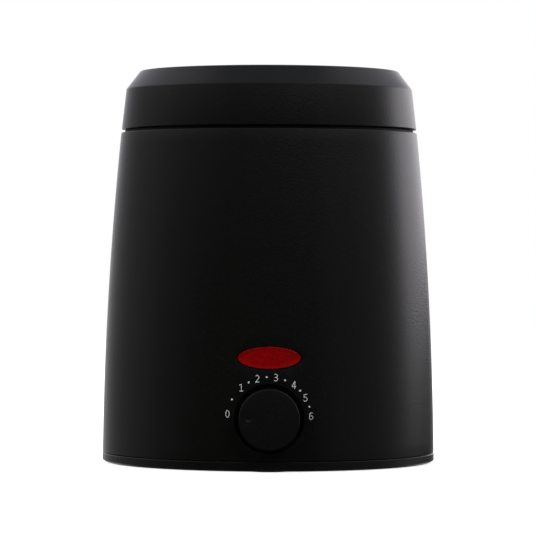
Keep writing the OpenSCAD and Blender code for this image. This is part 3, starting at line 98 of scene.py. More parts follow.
class CasingSettings(bpy.types.PropertyGroup):
    taper: mm("Taper", "How much wider the foot is than the top", 8.8)
    bow: mm("Bow", "How far the side bows out", 1.7)
    wall: mm("Wall", "Wall thickness", 2.6)
    edge: mm("Upper edge", "Radius of the upper edge", 0.45)
    foot_edge: mm("Lower edge", "Radius of the lower edge", 0.15)
    recess_gap: mm("Recess gap", "Gap between the knob and its recess", 1.9)
    recess_edge: mm("Recess edge", "Radius of the recess's edge", 0.6)
    recess_depth: mm("Recess depth", "Depth of the recess at its middle", 5)
    recess_wall: mm("Recess wall", "Wall thickness round and behind the recess", 2.2)
    shaft_hole: mm("Shaft hole", "Radius of the hole behind the knob", 5)
    lens_gap: mm("Lens gap", "Gap between lens and casing", 0.6)
    lens_edge: mm("Lens opening's edge", "Radius of that opening's edge", 0.4)
    notch: mm("Notch", "Half the width of the cord's notch", 5.95)
    post: mm("Post radius", "Radius of the posts for the base's screws", 4.5)
    post_height: mm("Post height", "Height of those posts above the lower edge", 22)
    lug_width: mm("Lug width", "Width of the lugs that carry the well", 14)
    lug: mm("Lug thickness", "Thickness of those lugs", 3.6)
    screw_head: mm("Screw head", "Height of the screws' heads", 2.2)
    colour: paint("Colour", "Colour of the moulded plastic", (0.0033, 0.0034, 0.003))
    roughness: share("Roughness", "Roughness of the moulded plastic", 0.26)
    grain: share("Grain", "Strength of the plastic's fine grain", 0.5)


class LidSettings(bpy.types.PropertyGroup):
    shoulder_height: mm("Shoulder height", "Height of the sloping shoulder", 9)
    shoulder_lean: mm("Shoulder lean", "How far the shoulder leans in", 6.9)
    side_lean: mm("Side lean", "How far the side leans in below the shoulder", 2.3)
    border: mm("Border", "Width of the raised border round the top", 3.4)
    dish: mm("Dish", "Depth of the top below its border", 0.8)
    wall: mm("Wall", "Wall thickness", 2.4)
    lip_inner: mm("Lip's inner radius", "Inner radius of the centring lip", 63)
    lip_outer: mm("Lip's outer radius", "Outer radius of that lip", 65)
    shelf: mm("Shelf", "Thickness of the shelf with the lip", 2.2)
    edge: mm("Edge radius", "Radius of the lid's lower edge", 0.5)
    shoulder_edge: mm("Shoulder's edge", "Radius of the shoulder's lower edge", 1.2)
    top_edge: mm("Top edge", "Radius of the shoulder's upper edge", 1.4)


class KnobSettings(bpy.types.PropertyGroup):
    edge: mm("Edge radius", "Radius of the face's edge", 0.55)
    wall: mm("Wall", "Wall thickness", 2)
    hub: mm("Hub radius", "Radius of the hub on the shaft", 6)
    bore: mm("Bore radius", "Radius of the hub's bore", 3.05)
    dimple_offset: mm("Dimple offset", "Distance of the dimple from the axis", 9.8)
    dimple_radius: mm("Dimple radius", "Radius of the pointer dimple", 1.3)
    dimple_depth: mm("Dimple depth", "Depth of the pointer dimple", 0.5)
    pointer: share("Pointer", "Direction of the pointer, counted anticlockwise from +X",
                   radians(178.5), unit="ROTATION")
    colour: paint("Colour", "Colour of the knob", (0.003, 0.0031, 0.0029))
    roughness: share("Roughness", "Roughness of the knob", 0.4)


class LensSettings(bpy.types.PropertyGroup):
    proud: mm("Proud", "How far the lens stands out", 0.3)
    edge: mm("Edge radius", "Radius of the lens's edge", 0.3)
    rim: mm("Rim", "Width of the flat rim round the window", 0.45)
    step: mm("Step", "Depth of the window behind its rim", 0.12)
    wall: mm("Wall", "Wall thickness", 1.2)
    colour: paint("Colour", "Colour of the lens", (0.163, 0.0003, 0.0006))
    roughness: share("Roughness", "Roughness of the lens", 0.3)


class DialSettings(bpy.types.PropertyGroup):
    radius: mm("Radius", "Distance of the marks from the knob's axis", 19.8)
    digit_height: mm("Digit height", "Height of each digit", 3.6)
    stroke: mm("Stroke", "Width of the digits' strokes", 0.34)
    dot_radius: mm("Dot radius", "Radius of each dot", 0.48)
    lift: mm("Lift", "Thickness of the printed marks", 0.06)
    colour: paint("Colour", "Colour of the printed marks", (0.44, 0.43, 0.43))


class StageSettings(bpy.types.PropertyGroup):
    distance: mm("Camera distance", "Distance of the camera in front of the axis", 1591)
    eye_height: mm("Eye height", "Height of the camera", 105.8)
    aim_height: mm("Aim height", "Height on the axis that the camera looks at", 95.9)
    aside: mm("Aside", "How far right of the axis the camera stands", -8.4)
    aim_aside: mm("Aim aside", "How far right of the axis the camera looks", -0.35)
    roll: share("Roll", "Turn of the camera about its own axis", 0.0028, unit="ROTATION")
    lens: share("Lens", "Focal length in millimetres", 215.7)
    fill: share("Fill", "Strength of the world's soft light", 0.12)


SETTINGS = {
    "wax_casing": CasingSettings,
    "wax_lid": LidSettings,
    "wax_knob": KnobSettings,
    "wax_lens": LensSettings,
    "wax_dial": DialSettings,
    "wax_stage": StageSettings,
}


def settings(name):
    """The scene's settings of one piece."""
    return getattr(bpy.context.scene, "wax_" + name)


# ---- Shapes ----

def middle(low, high):
    """The middle of a box."""
    return [(a + b) / 2 for a, b in zip(low, high)]


def side_radius(z):
    """The casing's outside radius at a height."""
    s = settings("casing")
    t = (z - casing_low.z) / (casing_high.z - casing_low.z)
    return casing_high.x - s.taper * t + 4 * s.bow * t * (1 - t)


def on_side(x, z, inset=0.0, depth=0.0):
    """The point of the casing's front at x and z, inset into the wall and moved back."""
    r = side_radius(z) - inset
    return (x, depth - sqrt(max(r * r - x * x, 0.0)), z)


def on_front(loop, z, inset=0.0, depth=0.0, x=0.0):
    """A loop of the XZ plane on the casing's front, round x and z."""
    return [on_side(u + x, v + z, inset, depth) for u, v in loop]


def upright(loop, y, z, x=0.0):
    """A loop of the XZ plane, moved to y, round x and z."""
    return [(u + x, y, v + z) for u, v in loop]


def oval(half_width, half_height, steps=HOLE_STEPS):
    """Points round an oval, as x and z."""
    turns = [tau * i / steps for i in range(steps)]
    return [(half_width * cos(t), half_height * sin(t)) for t in turns]


def circle(radius, steps=HOLE_STEPS):
    """Points round a circle, as x and z."""
    return oval(radius, radius, steps)


def quarter(radius):
    """A rounded edge, as how far each of its points lies inside the two faces."""
    turns = [radians(a) for a in range(0, 91, 15)]
    return [(radius * (1 - cos(a)), radius * (1 - sin(a))) for a in turns]


def rounded(points, radii, steps=6):
    """A profile with its corners rounded by the radii given for their numbers."""
    out = []
    for i, p in enumerate(points):
        r = radii.get(i, 0.0)
        if not r:
            out.append(tuple(p))
            continue
        here = Vector(p)
        back = (Vector(points[i - 1]) - here).normalized()
        on = (Vector(points[(i + 1) % len(points)]) - here).normalized()
        half = back.angle(on) / 2
        start, end = here + back * r / tan(half), here + on * r / tan(half)
        centre = here + (back + on).normalized() * r / sin(half)
        a = atan2(start.y - centre.y, start.x - centre.x)
        b = atan2(end.y - centre.y, end.x - centre.x)
        turn = (b - a + pi) % tau - pi
        turns = [a + turn * k / steps for k in range(steps + 1)]
        out += [(centre.x + r * cos(t), centre.y + r * sin(t)) for t in turns]
    return out


class Shell:
    """Gathers faces by their points, which are merged where they are equal."""

    def __init__(self):
        self.points = []
        self.faces = []

    def ring(self, points):
        """Adds points and gives their numbers."""
        first = len(self.points)
        self.points += [tuple(p) for p in points]
        return list(range(first, len(self.points)))

    def strips(self, *rings, closed=True):
        """Walls between rings of equal length."""
        numbers = [self.ring(r) for r in rings]
        for a, b in zip(numbers, numbers[1:]):
            n = len(a)
            for i in range(n if closed else n - 1):
                j = (i + 1) % n
                self.faces.append((a[i], a[j], b[j], b[i]))

    def cap(self, points):
        """One face with the points as its corners."""
        self.faces.append(tuple(self.ring(points)))

    def solid(self, *rings):
        """Walls between rings, with the first and the last ring filled."""
        self.strips(*rings)
        self.cap(rings[0])
        self.cap(rings[-1])

    def patch(self, loops, inside, place):
        """A filled area of a plane, put in place by a function. The first loop is its outline,
        the others are holes, and inside are more of its points."""
        flat, edges = [], []
        for loop in loops:
            first = len(flat)
            flat += [Vector(p) for p in loop]
            edges += [(first + i, first + (i + 1) % len(loop)) for i in range(len(loop))]
        flat += [Vector(p) for p in inside]
        points, _, faces, *_ = delaunay_2d_cdt(flat, edges, [], 0, 1e-9)
        first = len(self.points)
        self.points += [place(p.x, p.y) for p in points]
        for face in faces:
            middle = sum((points[i] for i in face), Vector((0, 0))) / len(face)
            if within(middle, loops[0]) and not any(within(middle, h) for h in loops[1:]):
                self.faces.append(tuple(first + i for i in face))

    def mesh(self, name):
        """The closed mesh, with its faces pointing outwards."""
        return tidy(plain_mesh(name, self.points, faces=self.faces))


def tidy(data):
    """Merges equal points, turns the faces outwards and shades the soft edges smooth."""
    if "custom_normal" in data.attributes:
        data.attributes.remove(data.attributes["custom_normal"])
    work = bmesh.new()
    work.from_mesh(data)
    bmesh.ops.remove_doubles(work, verts=work.verts, dist=MERGE)
    bmesh.ops.dissolve_degenerate(work, edges=work.edges, dist=MERGE / 10)
    bmesh.ops.recalc_face_normals(work, faces=work.faces)
    work.to_mesh(data)
    work.free()
    data.shade_smooth()
    data.set_sharp_from_angle(angle=SOFT)
    return data


def within(point, loop):
    """Whether a point of the plane lies inside a loop."""
    inside = False
    for (x0, y0), (x1, y1) in zip(loop, loop[1:] + loop[:1]):
        if (y0 > point.y) != (y1 > point.y):
            if point.x < x0 + (x1 - x0) * (point.y - y0) / (y1 - y0):
                inside = not inside
    return inside


def plain_mesh(name, points, edges=(), faces=()):
    """A new mesh of points, edges and faces."""
    data = bpy.data.meshes.new(name)
    data.from_pydata(points, edges, faces)
    return data


def put(name, data):
    """A new object in the scene."""
    made = bpy.data.objects.new(name, data)
    bpy.context.scene.collection.objects.link(made)
    return made


# ---- Nodes ----

def add(tree, name, kind, values=None, **options):
    """A named node with its options and the values of its inputs."""
    node = tree.nodes.new(kind)
    node.name = name
    for key, value in options.items():
        setattr(node, key, value)
    for key, value in (values or {}).items():
        node.inputs[key].default_value = value
    return node


def nodes(tree, family, **kinds):
    """Adds nodes of one family, each by its name."""
    for name, kind in kinds.items():
        add(tree, name, family + kind)


def maths(tree, name, operation, values=None):
    """A node that calculates with numbers."""
    return add(tree, name, "ShaderNodeMath", values, operation=operation)


def wire(tree, links):
    """Links nodes, each link given as "node.output > node.input"."""
    for link in links.split(","):
        ends = []
        for end, side in zip(link.split(">"), ("outputs", "inputs")):
            node, _, socket = end.strip().rpartition(".")
            sockets = getattr(tree.nodes[node], side)
            ends.append(sockets[int(socket) if socket.isdigit() else socket])
        tree.links.new(*ends)


def group(name, kind, inputs, outputs):
    """A node group whose sockets are given by their names, kinds and values."""
    tree = bpy.data.node_groups.new(name, kind)
    for side, sockets in (("INPUT", inputs), ("OUTPUT", outputs)):
        for label, what, *value in sockets:
            socket = tree.interface.new_socket(label, in_out=side, socket_type="NodeSocket" + what)
            if value:
                socket.default_value = value[0]
    nodes(tree, "NodeGroup", given="Input", out="Output")
    return tree


def once(name, build):
    """The node group of a name, built on its first use."""
    if name not in bpy.data.node_groups:
        build(name)
    return bpy.data.node_groups[name]


def shape_tree(name, *inputs):
    """A Geometry Nodes group that makes its instances real and gives them a finish."""
    shape = ("Geometry", "Geometry")
    tree = group(name, "GeometryNodeTree", [shape, *inputs, ("Finish", "Material")], [shape])
    nodes(tree, "GeometryNode", whole="RealizeInstances", finish="SetMaterial")
    wire(tree, """whole.Geometry > finish.Geometry, given.Finish > finish.Material,
        finish.Geometry > out.Geometry""")
    return tree


def turned_tree(name):
    """Turns a profile, drawn as x for the radius and -y for the height, about the Z axis."""
    tree = shape_tree(name, ("Steps", "Int", ROUND_STEPS))
    nodes(tree, "GeometryNode", profile="MeshToCurve", sweep="CurveToMesh")
    add(tree, "path", "GeometryNodeCurvePrimitiveCircle", {"Radius": MERGE / 10})
    add(tree, "weld", "GeometryNodeMergeByDistance", {"Distance": MERGE})
    wire(tree, """given.Geometry > profile.Mesh, given.Steps > path.Resolution,
        path.Curve > sweep.Curve, profile.Curve > sweep.Profile Curve,
        sweep.Mesh > weld.Geometry, weld.Geometry > whole.Geometry""")


def repeat_tree(name):
    """Repeats a shape at each point, turned to face away from the Z axis."""
    tree = shape_tree(name, ("Shape", "Object"))
    nodes(tree, "GeometryNode", shape="ObjectInfo", where="InputPosition",
          place="InstanceOnPoints")
    nodes(tree, "ShaderNode", split="SeparateXYZ", turn="CombineXYZ")
    nodes(tree, "FunctionNode", spin="EulerToRotation")
    maths(tree, "angle", "ARCTAN2")
    wire(tree, """given.Shape > shape.Object, where.0 > split.0, split.Y > angle.0,
        split.X > angle.1, angle.0 > turn.Z, turn.0 > spin.0, given.Geometry > place.Points,
        shape.Geometry > place.Instance, spin.0 > place.Rotation,
        place.Instances > whole.Geometry""")


def stroke_tree(name):
    """Draws flat strokes along lines of the XY plane, and a disc at each loose point."""
    tree = shape_tree(
        name, ("Stroke", "Float", 0.34 * MM), ("Lift", "Float", 0.06 * MM),
        ("Dot radius", "Float", 0.48 * MM),
    )
    nodes(tree, "GeometryNode", lines="MeshToCurve", pen="CurvePrimitiveQuadrilateral",
          around="InputMeshVertexNeighbors", dots="InstanceOnPoints", both="JoinGeometry")
    add(tree, "level", "GeometryNodeSetCurveNormal", mode="Z_UP")
    add(tree, "sweep", "GeometryNodeCurveToMesh", {"Fill Caps": True})
    add(tree, "loose", "FunctionNodeCompare", data_type="INT", operation="EQUAL")
    add(tree, "disc", "GeometryNodeMeshCylinder", {"Vertices": 24})
    wire(tree, """given.Geometry > lines.Mesh, lines.Curve > level.Curve,
        level.Curve > sweep.Curve, given.Stroke > pen.Width, given.Lift > pen.Height,
        pen.Curve > sweep.Profile Curve, around.Vertex Count > loose.A,
        given.Geometry > dots.Points, loose.Result > dots.Selection,
        given.Dot radius > disc.Radius, given.Lift > disc.Depth, disc.Mesh > dots.Instance,
        sweep.Mesh > both.Geometry, dots.Instances > both.Geometry,
        both.Geometry > whole.Geometry""")


def run_tree(name, source, build, label, **values):
    """The plain mesh that a node group makes of a mesh."""
    work = put("work", source)
    change = work.modifiers.new("tree", "NODES")
    change.node_group = once(label, build)
    for item in change.node_group.interface.items_tree:
        key = item.name.replace(" ", "_")
        if item.in_out == "INPUT" and key in values:
            change[item.identifier] = values[key]
    bpy.context.view_layer.update()
    ready = work.evaluated_get(bpy.context.evaluated_depsgraph_get())
    made = bpy.data.meshes.new_from_object(ready)
    work.modifiers.remove(change)
    bpy.data.objects.remove(work)
    made.name = name
    return made


def turned(name, profile, finish, steps=ROUND_STEPS):
    """A turned mesh from a closed or open profile."""
    n = len(profile)
    ends_on_axis = profile[0][0] == 0 and profile[-1][0] == 0
    edges = [(i, (i + 1) % n) for i in range(n - 1 if ends_on_axis else n)]
    lines = plain_mesh(name, [(r, -z, 0.0) for r, z in profile], edges)
    return tidy(run_tree(name, lines, turned_tree, "Turned piece", Steps=steps, Finish=finish))


def repeated(name, shape, places, finish):
    """One mesh of a shape repeated at places."""
    points, holder = plain_mesh(name, places), put("shape", shape)
    made = run_tree(name, points, repeat_tree, "Repeated shape", Shape=holder, Finish=finish)
    bpy.data.objects.remove(holder)
    return tidy(made)


def place_piece(name, data, body, slot, nodes=()):
    """Puts a finished mesh in the scene, on its body, in the place of CAD nodes."""
    if slot and not data.materials:
        data.materials.append(finish_of(slot))
    piece = put(name, data)
    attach(piece, body)
    if nodes:
        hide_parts(*nodes)
    return piece


# ---- Materials ----

def shader(name, colour, roughness, **more):
    """A new material and its tree, or the one made earlier and None."""
    if name in bpy.data.materials:
        return bpy.data.materials[name], None
    material = bpy.data.materials.new(name)
    material.use_nodes = True
    bsdf = material.node_tree.nodes["Principled BSDF"]
    values = {"Base_Color": (*colour, 1.0), "Roughness": roughness, **more}
    for key, value in values.items():
        bsdf.inputs[key.replace("_", " ")].default_value = value
    return material, material.node_tree


def textured(name, colour, roughness, texture, values, bump, **more):
    """A material with its roughness, bumps and perhaps colour from a node group."""
    material, tree = shader(name, colour, roughness, **more)
    if tree:
        given = {"Roughness": roughness, **values}
        add(tree, "texture", "ShaderNodeGroup", given, node_tree=texture)
        add(tree, "bump", "ShaderNodeBump", dict(zip(("Strength", "Distance"), bump)))
        wire(tree, """texture.Height > bump.Height, bump.Normal > Principled BSDF.Normal,
            texture.Roughness > Principled BSDF.Roughness""")
        if "Colour" in values:
            wire(tree, "texture.Colour > Principled BSDF.Base Color")
    return material


def varied(tree, noise, amount):
    """Varies the roughness of a group by a noise and an amount."""
    maths(tree, "centred", "SUBTRACT", {1: 0.5})
    maths(tree, "varied", "MULTIPLY_ADD")
    wire(tree, f"""{noise}.Fac > centred.0, centred.0 > varied.0, given.{amount} > varied.1,
        given.Roughness > varied.2, varied.0 > out.Roughness""")


def grain_group(name):
    """Fine spark-eroded grain and slight unevenness, from object coordinates."""
    tree = group(name, "ShaderNodeTree", [
        ("Grain size", "Float", 1050.0), ("Roughness", "Float", 0.26),
        ("Unevenness", "Float", 0.03), ("Colour", "Color"), ("Speckle", "Float", 1.0),
    ], [("Height", "Float"), ("Roughness", "Float"), ("Colour", "Color")])
    nodes(tree, "ShaderNode", where="TexCoord")
    add(tree, "fine", "ShaderNodeTexNoise", {"Detail": 1.0})
    add(tree, "broad", "ShaderNodeTexNoise", {"Scale": 60.0})
    maths(tree, "speck", "SUBTRACT", {1: 0.5})
    maths(tree, "lighter", "MULTIPLY_ADD", {2: 1.0})
    add(tree, "tinted", "ShaderNodeVectorMath", operation="SCALE")
    wire(tree, """where.Object > fine.Vector, where.Object > broad.Vector,
        given.Grain size > fine.Scale, fine.Fac > out.Height, fine.Fac > speck.0,
        speck.0 > lighter.0, given.Speckle > lighter.1, given.Colour > tinted.0,
        lighter.0 > tinted.Scale, tinted.0 > out.Colour""")
    varied(tree, "broad", "Unevenness")


def moulded(name, colour, roughness, grain, size=1050.0, **more):
    """Moulded plastic, rubber or the like, with a fine grain."""
    values = {"Grain size": size, "Colour": (*colour, 1)}
    texture = once("Moulded grain", grain_group)
    return textured(name, colour, roughness, texture, values, (grain, 0.14 * MM), **more)


def marks_group(name):
    """Fine turning marks round the Z axis, from object coordinates."""
    tree = group(name, "ShaderNodeTree", [
        ("Marks", "Float", 1500.0), ("Roughness", "Float", 0.3), ("Spread", "Float", 0.1),
    ], [("Height", "Float"), ("Roughness", "Float")])
    nodes(tree, "ShaderNode", where="TexCoord", split="SeparateXYZ", flat="CombineXYZ",
          join="CombineXYZ")
    add(tree, "radius", "ShaderNodeVectorMath", operation="LENGTH")
    maths(tree, "turning", "ARCTAN2")
    maths(tree, "slow", "MULTIPLY", {1: 0.002})
    add(tree, "noise", "ShaderNodeTexNoise", {"Detail": 3.0})
    wire(tree, """where.Object > split.0, split.X > flat.X, split.Y > flat.Y,
        flat.0 > radius.0, split.Y > turning.0, split.X > turning.1, turning.0 > slow.0,
        radius.Value > join.X, slow.0 > join.Y, split.Z > join.Z, join.0 > noise.Vector,
        given.Marks > noise.Scale, noise.Fac > out.Height""")
    varied(tree, "noise", "Spread")


def finish_of(slot):
    """The material of one of the record's slots, made on its first use."""
    case, knob, lens = settings("casing"), settings("knob"), settings("lens")
    if slot == "aluminium":
        texture = once("Turning marks", marks_group)
        return textured("Turned aluminium", (0.78, 0.78, 0.79), 0.3, texture,
                        {"Spread": 0.1}, (0.04, 0.05 * MM), Metallic=0.75)
    # The material's name, colour, roughness and strength of the grain
    rows = {
        "moulded_black": ("Moulded black", case.colour, case.roughness, case.grain),
        # The rim ring is black plastic. It is made darker and rougher than the casing as painted
        # shade in the gap under the lid.
        "ring_black": ("Ring black", (0.0012,) * 3, 0.6, 0.1),
        "knob_black": ("Knob black", knob.colour, knob.roughness, 0.18),
        "lens_red": ("Lens red", lens.colour, lens.roughness, 0.03),
        "steel": ("Plain steel", (0.56, 0.56, 0.57), 0.3, 0.05),
        "brass": ("Plain brass", (0.75, 0.55, 0.24), 0.32, 0.05),
        "copper": ("Copper", (0.72, 0.36, 0.22), 0.34, 0.05),
        "mica": ("Mica", (0.36, 0.3, 0.2), 0.55, 0.3),
        "ceramic_white": ("White ceramic", (0.72, 0.7, 0.66), 0.4, 0.1),
        "neon_glass": ("Neon glass", (0.8, 0.42, 0.25), 0.08, 0.0),
        "phenolic_cream": ("Cream phenolic", (0.6, 0.52, 0.36), 0.4, 0.2),
        "nylon_white": ("White nylon", (0.72, 0.72, 0.68), 0.45, 0.1),
        "foot_rubber": ("Black rubber", (0.012,) * 3, 0.75, 0.4),
        "lead_brown": ("Brown lead", (0.13, 0.05, 0.02), 0.4, 0.05),
        "lead_blue": ("Blue lead", (0.04, 0.12, 0.4), 0.4, 0.05),
        "lead_green": ("Green lead", (0.1, 0.32, 0.06), 0.4, 0.05),
        "lead_black": ("Black lead", (0.01,) * 3, 0.4, 0.05),
    }
    more = {
        "lens_red": {"size": 900.0, "IOR": 1.49, "Specular_IOR_Level": 0.2},
        "steel": {"Metallic": 0.75}, "brass": {"Metallic": 1.0}, "copper": {"Metallic": 1.0},
        "mica": {"size": 700.0}, "foot_rubber": {"size": 1500.0},
    }
    return moulded(*rows[slot], **more.get(slot, {}))


FEET = [f"foot_{n}" for n in (1, 2, 3, 4)]

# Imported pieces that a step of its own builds
BUILT = {"casing", "lid", "knob", "lamp_lens", *FEET}

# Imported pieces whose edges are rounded, with the radius
BEVELS = {"pot_handle_1": 0.3 * MM, "pot_handle_2": 0.3 * MM, "cord_bush": 0.4 * MM}


# ---- Operators ----

class WAX_OT_inner_pieces(bpy.types.Operator):
    """Makes a smooth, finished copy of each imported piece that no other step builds"""
    bl_idname = "wax.inner_pieces"
    bl_label = "Finish the pot, the works and the fixings"

    def execute(self, context):
        slots = {p["node"]: p["material_slot"] for p in frame["record"]["subparts"]}
        for body, names in frame["record"]["behaviour"]["bodies"].items():
            for name in names:
                if name in BUILT:
                    continue
                data = frame["nodes"][name].data.copy()
                data.materials.clear()
                tidy(data)
                piece = place_piece(name + "_piece", data, body, slots[name], [name])
                if name in BEVELS:
                    soften(piece, BEVELS[name])
        return {"FINISHED"}


def soften(piece, width):
    """Rounds the sharp edges of a piece."""
    flat, sharp = radians(0.5), radians(40)
    work = bmesh.new()
    work.from_mesh(piece.data)
    bmesh.ops.dissolve_limit(work, angle_limit=flat, verts=work.verts, edges=work.edges)
    work.to_mesh(piece.data)
    work.free()
    edge = piece.modifiers.new("edges", "BEVEL")
    edge.width = width
    edge.segments = 3
    edge.limit_method = "ANGLE"
    edge.angle_limit = sharp


def make_casing(s):
    """The casing, whose side is drawn flat and then bent round."""
    shell = Shell()
    recess_r = knob_r + s.recess_gap
    boss_r = recess_r + s.recess_wall
    window_w, window_h = lens_w + s.lens_gap, lens_h + s.lens_gap
    low, high = casing_low.z + s.foot_edge, casing_high.z - s.edge
    scale = casing_high.x  # the flat drawing's x is the angle from the front times this
    rear = scale * pi
    half_notch = scale * asin(s.notch / side_radius(casing_low.z))
    notch_top = bush_high.z - (bush_high.x - bush_low.x) / 2 + s.notch
    hole_margin, notch_margin = 2.4 * MM, 3 * MM  # kept free of the side's inner points
    step = tau / ROUND_STEPS * scale
    first = -ROUND_STEPS // 4
    columns = [i * step for i in range(first, first + ROUND_STEPS + 1)]
    levels = [low + (high - low) * k / ROWS for k in range(1, ROWS)]

    def drawn(points, centre_z):
        """A loop on the casing's front, drawn flat."""
        moved = [(x, z + centre_z) for x, z in points]
        return [(scale * asin(x / side_radius(z)), z) for x, z in moved]

    def skin(inset):
        """Bends the flat drawing round, an inset inside the casing's side."""
        def place(x, z):
            r = side_radius(z) - inset
            return (r * sin(x / scale), -r * cos(x / scale), z)
        return place

    def bottom(shift):
        """The lower outline with the cord's notch, moved outwards."""
        a = rear - half_notch - s.foot_edge + shift
        b = rear + half_notch + s.foot_edge - shift
        base, top, rise = low - shift, notch_top + s.foot_edge - shift, 6
        notch = [(a, base + (top - base) * k / rise) for k in range(rise + 1)]
        notch += [(a + (b - a) * k / 4, top) for k in range(1, 4)]
        notch += [(b, top + (base - top) * k / rise) for k in range(rise + 1)]
        clear = half_notch + 0.3 * step
        before = [(x, base) for x in columns if x < rear - clear]
        return before + notch + [(x, base) for x in columns if x > rear + clear]

    def free(x, z, holes):
        """Whether a point lies clear of the notch and the holes."""
        if abs(x - rear) < half_notch + 0.6 * step and z < notch_top + notch_margin:
            return False
        return not any(
            within(Vector((x, z)), h) or min(dist((x, z), p) for p in h) < hole_margin
            for h in holes
        )

    def fill(holes, inset):
        """One face of the side, with its holes."""
        up = [(columns[-1], z) for z in levels]
        down = [(columns[0], high + (low - high) * k / ROWS) for k in range(1, ROWS)]
        border = bottom(0.0) + up + [(x, high) for x in reversed(columns)] + down
        inner = [(x, z) for x in columns[1:-1] for z in levels if free(x, z, holes)]
        shell.patch([border] + holes, inner, skin(inset))

    def band(loop, inset, lift=0.0):
        """A line of the flat drawing, raised and put on the side."""
        return [skin(inset)(x, z + lift) for x, z in loop]

    def opening(w, h, z, edge):
        """The rounded edge of an opening."""
        return [on_front(oval(w + out, h + out), z, depth=back) for back, out in quarter(edge)]

    recess_out = drawn(circle(recess_r + s.recess_edge), knob_z)
    window_out = drawn(oval(window_w + s.lens_edge, window_h + s.lens_edge), lens_z)
    fill([recess_out, window_out], 0.0)
    fill([drawn(circle(boss_r), knob_z), drawn(oval(window_w, window_h), lens_z)], s.wall)

    # The upper and lower edges, from the outer face to the inner one
    top = [(x, high) for x in columns]
    shell.strips(
        *[band(top, back, s.edge - out) for back, out in quarter(s.edge)],
        band(top, s.wall, s.edge), band(top, s.wall), closed=False,
    )
    shell.strips(
        *[band(bottom(s.foot_edge - out), back) for back, out in quarter(s.foot_edge)],
        band(bottom(s.foot_edge), s.wall), band(bottom(0.0), s.wall), closed=False,
    )

    # The knob's recess, with the hole for its shaft
    floor_y = -(side_radius(knob_z) - s.recess_depth)
    back_y = floor_y + s.recess_wall
    corner = s.recess_edge * 0.6
    hole, boss = circle(s.shaft_hole), circle(boss_r)
    shell.strips(
        *opening(recess_r, recess_r, knob_z, s.recess_edge),
        *[upright(circle(recess_r - back), floor_y - out, knob_z)
          for back, out in quarter(corner)],
        upright(hole, floor_y, knob_z), upright(hole, back_y, knob_z),
        upright(boss, back_y, knob_z), on_front(boss, knob_z, s.wall),
    )

    # The lens's opening
    shell.strips(
        *opening(window_w, window_h, lens_z, s.lens_edge),
        on_front(oval(window_w, window_h), lens_z, s.wall),
    )

    data = joined("casing_shell", shell.mesh("side"), *casing_mounts(s))
    place_piece("casing_shell", data, "housing", "moulded_black", ["casing"])


class WAX_OT_casing(bpy.types.Operator):
    """Builds the casing, with the knob's recess, the lens's opening and the cord's notch"""
    bl_idname = "wax.casing"
    bl_label = "Build the casing"

    def execute(self, context):
        make_casing(settings("casing"))
        return {"FINISHED"}


def casing_mounts(s):
    """The posts and lugs inside the casing, closed meshes that run into its side."""
    parts = []
    thread, eye_r, stem_r = 1.55 * MM, 1.7 * MM, 4 * MM  # post's hole, lug's hole, bracket's post
    foot, top = casing_low.z + 1.3 * MM, casing_low.z + s.post_height  # of the base's posts
    lug_start = 60.8 * MM  # distance of the lugs' inner ends from the axis
    below_top, past_tip = 0.01 * MM, 0.05 * MM
    reach = s.wall / 2
    for n in (1, 2, 3, 4):
        low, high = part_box(f"base_screw_{n}")
        x, y, _ = middle(low, high)
        post = Shell()

        def ring(radius, z):
            return [(px + x, py + y, z) for px, py in circle(radius, SMALL_STEPS)]

        post.solid(
            ring(thread, high.z), ring(thread, foot), ring(s.post, foot), ring(s.post, top)
        )
        out = Vector((x, y)).normalized()
        across = Vector((-out.y, out.x)) * s.wall / 2
        start = hypot(x, y) + s.post * 0.7
        walls = []
        for z in (foot + s.wall, top - below_top):
            end = side_radius(z) - reach
            corners = (start, -1), (end, -1), (end, 1), (start, 1)
            walls.append([(*(out * along + across * side), z) for along, side in corners])
        post.solid(*walls)
        parts.append(post.mesh("post"))
    for n in (1, 2, 3):
        low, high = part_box(f"rim_screw_{n}")
        x, y, _ = middle(low, high)
        heights = low.z + s.screw_head, low.z + s.screw_head + s.lug
        turn, spot = atan2(y, x), hypot(x, y)
        half = s.lug_width / 2
        end = side_radius(heights[1]) - reach
        sides = (-half, -half / 2, 0.0, half / 2, half)
        rounded_end = [(sqrt(end * end - v * v), v) for v in sides]
        outline = [(lug_start, -half), *rounded_end, (lug_start, half)]
        eye = [(spot + u, v) for u, v in circle(eye_r, SMALL_STEPS)]
        lug = Shell()

        def at(u, v, z):
            return (u * cos(turn) - v * sin(turn), u * sin(turn) + v * cos(turn), z)

        for z in heights:
            lug.patch([outline, eye], [], lambda u, v: at(u, v, z))
        for loop in (outline, eye):
            lug.strips(*[[at(u, v, z) for u, v in loop] for z in heights])
        parts.append(lug.mesh("lug"))
    for n in (1, 2):
        low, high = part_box(f"bracket_screw_{n}")
        x, _, z = middle(low, high)
        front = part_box("thermostat_bracket")[0].y
        hole, stem = circle(thread, SMALL_STEPS), circle(stem_r, SMALL_STEPS)
        post = Shell()
        post.solid(
            upright(hole, low.y - past_tip, z, x), upright(hole, front, z, x),
            upright(stem, front, z, x), on_front(stem, z, reach, x=x),
        )
        parts.append(post.mesh("post"))
    return parts


def joined(name, *parts):
    """One mesh of several closed ones."""
    work = bmesh.new()
    for part in parts:
        work.from_mesh(part)
        bpy.data.meshes.remove(part)
    data = bpy.data.meshes.new(name)
    work.to_mesh(data)
    work.free()
    data.set_sharp_from_angle(angle=SOFT)
    return data


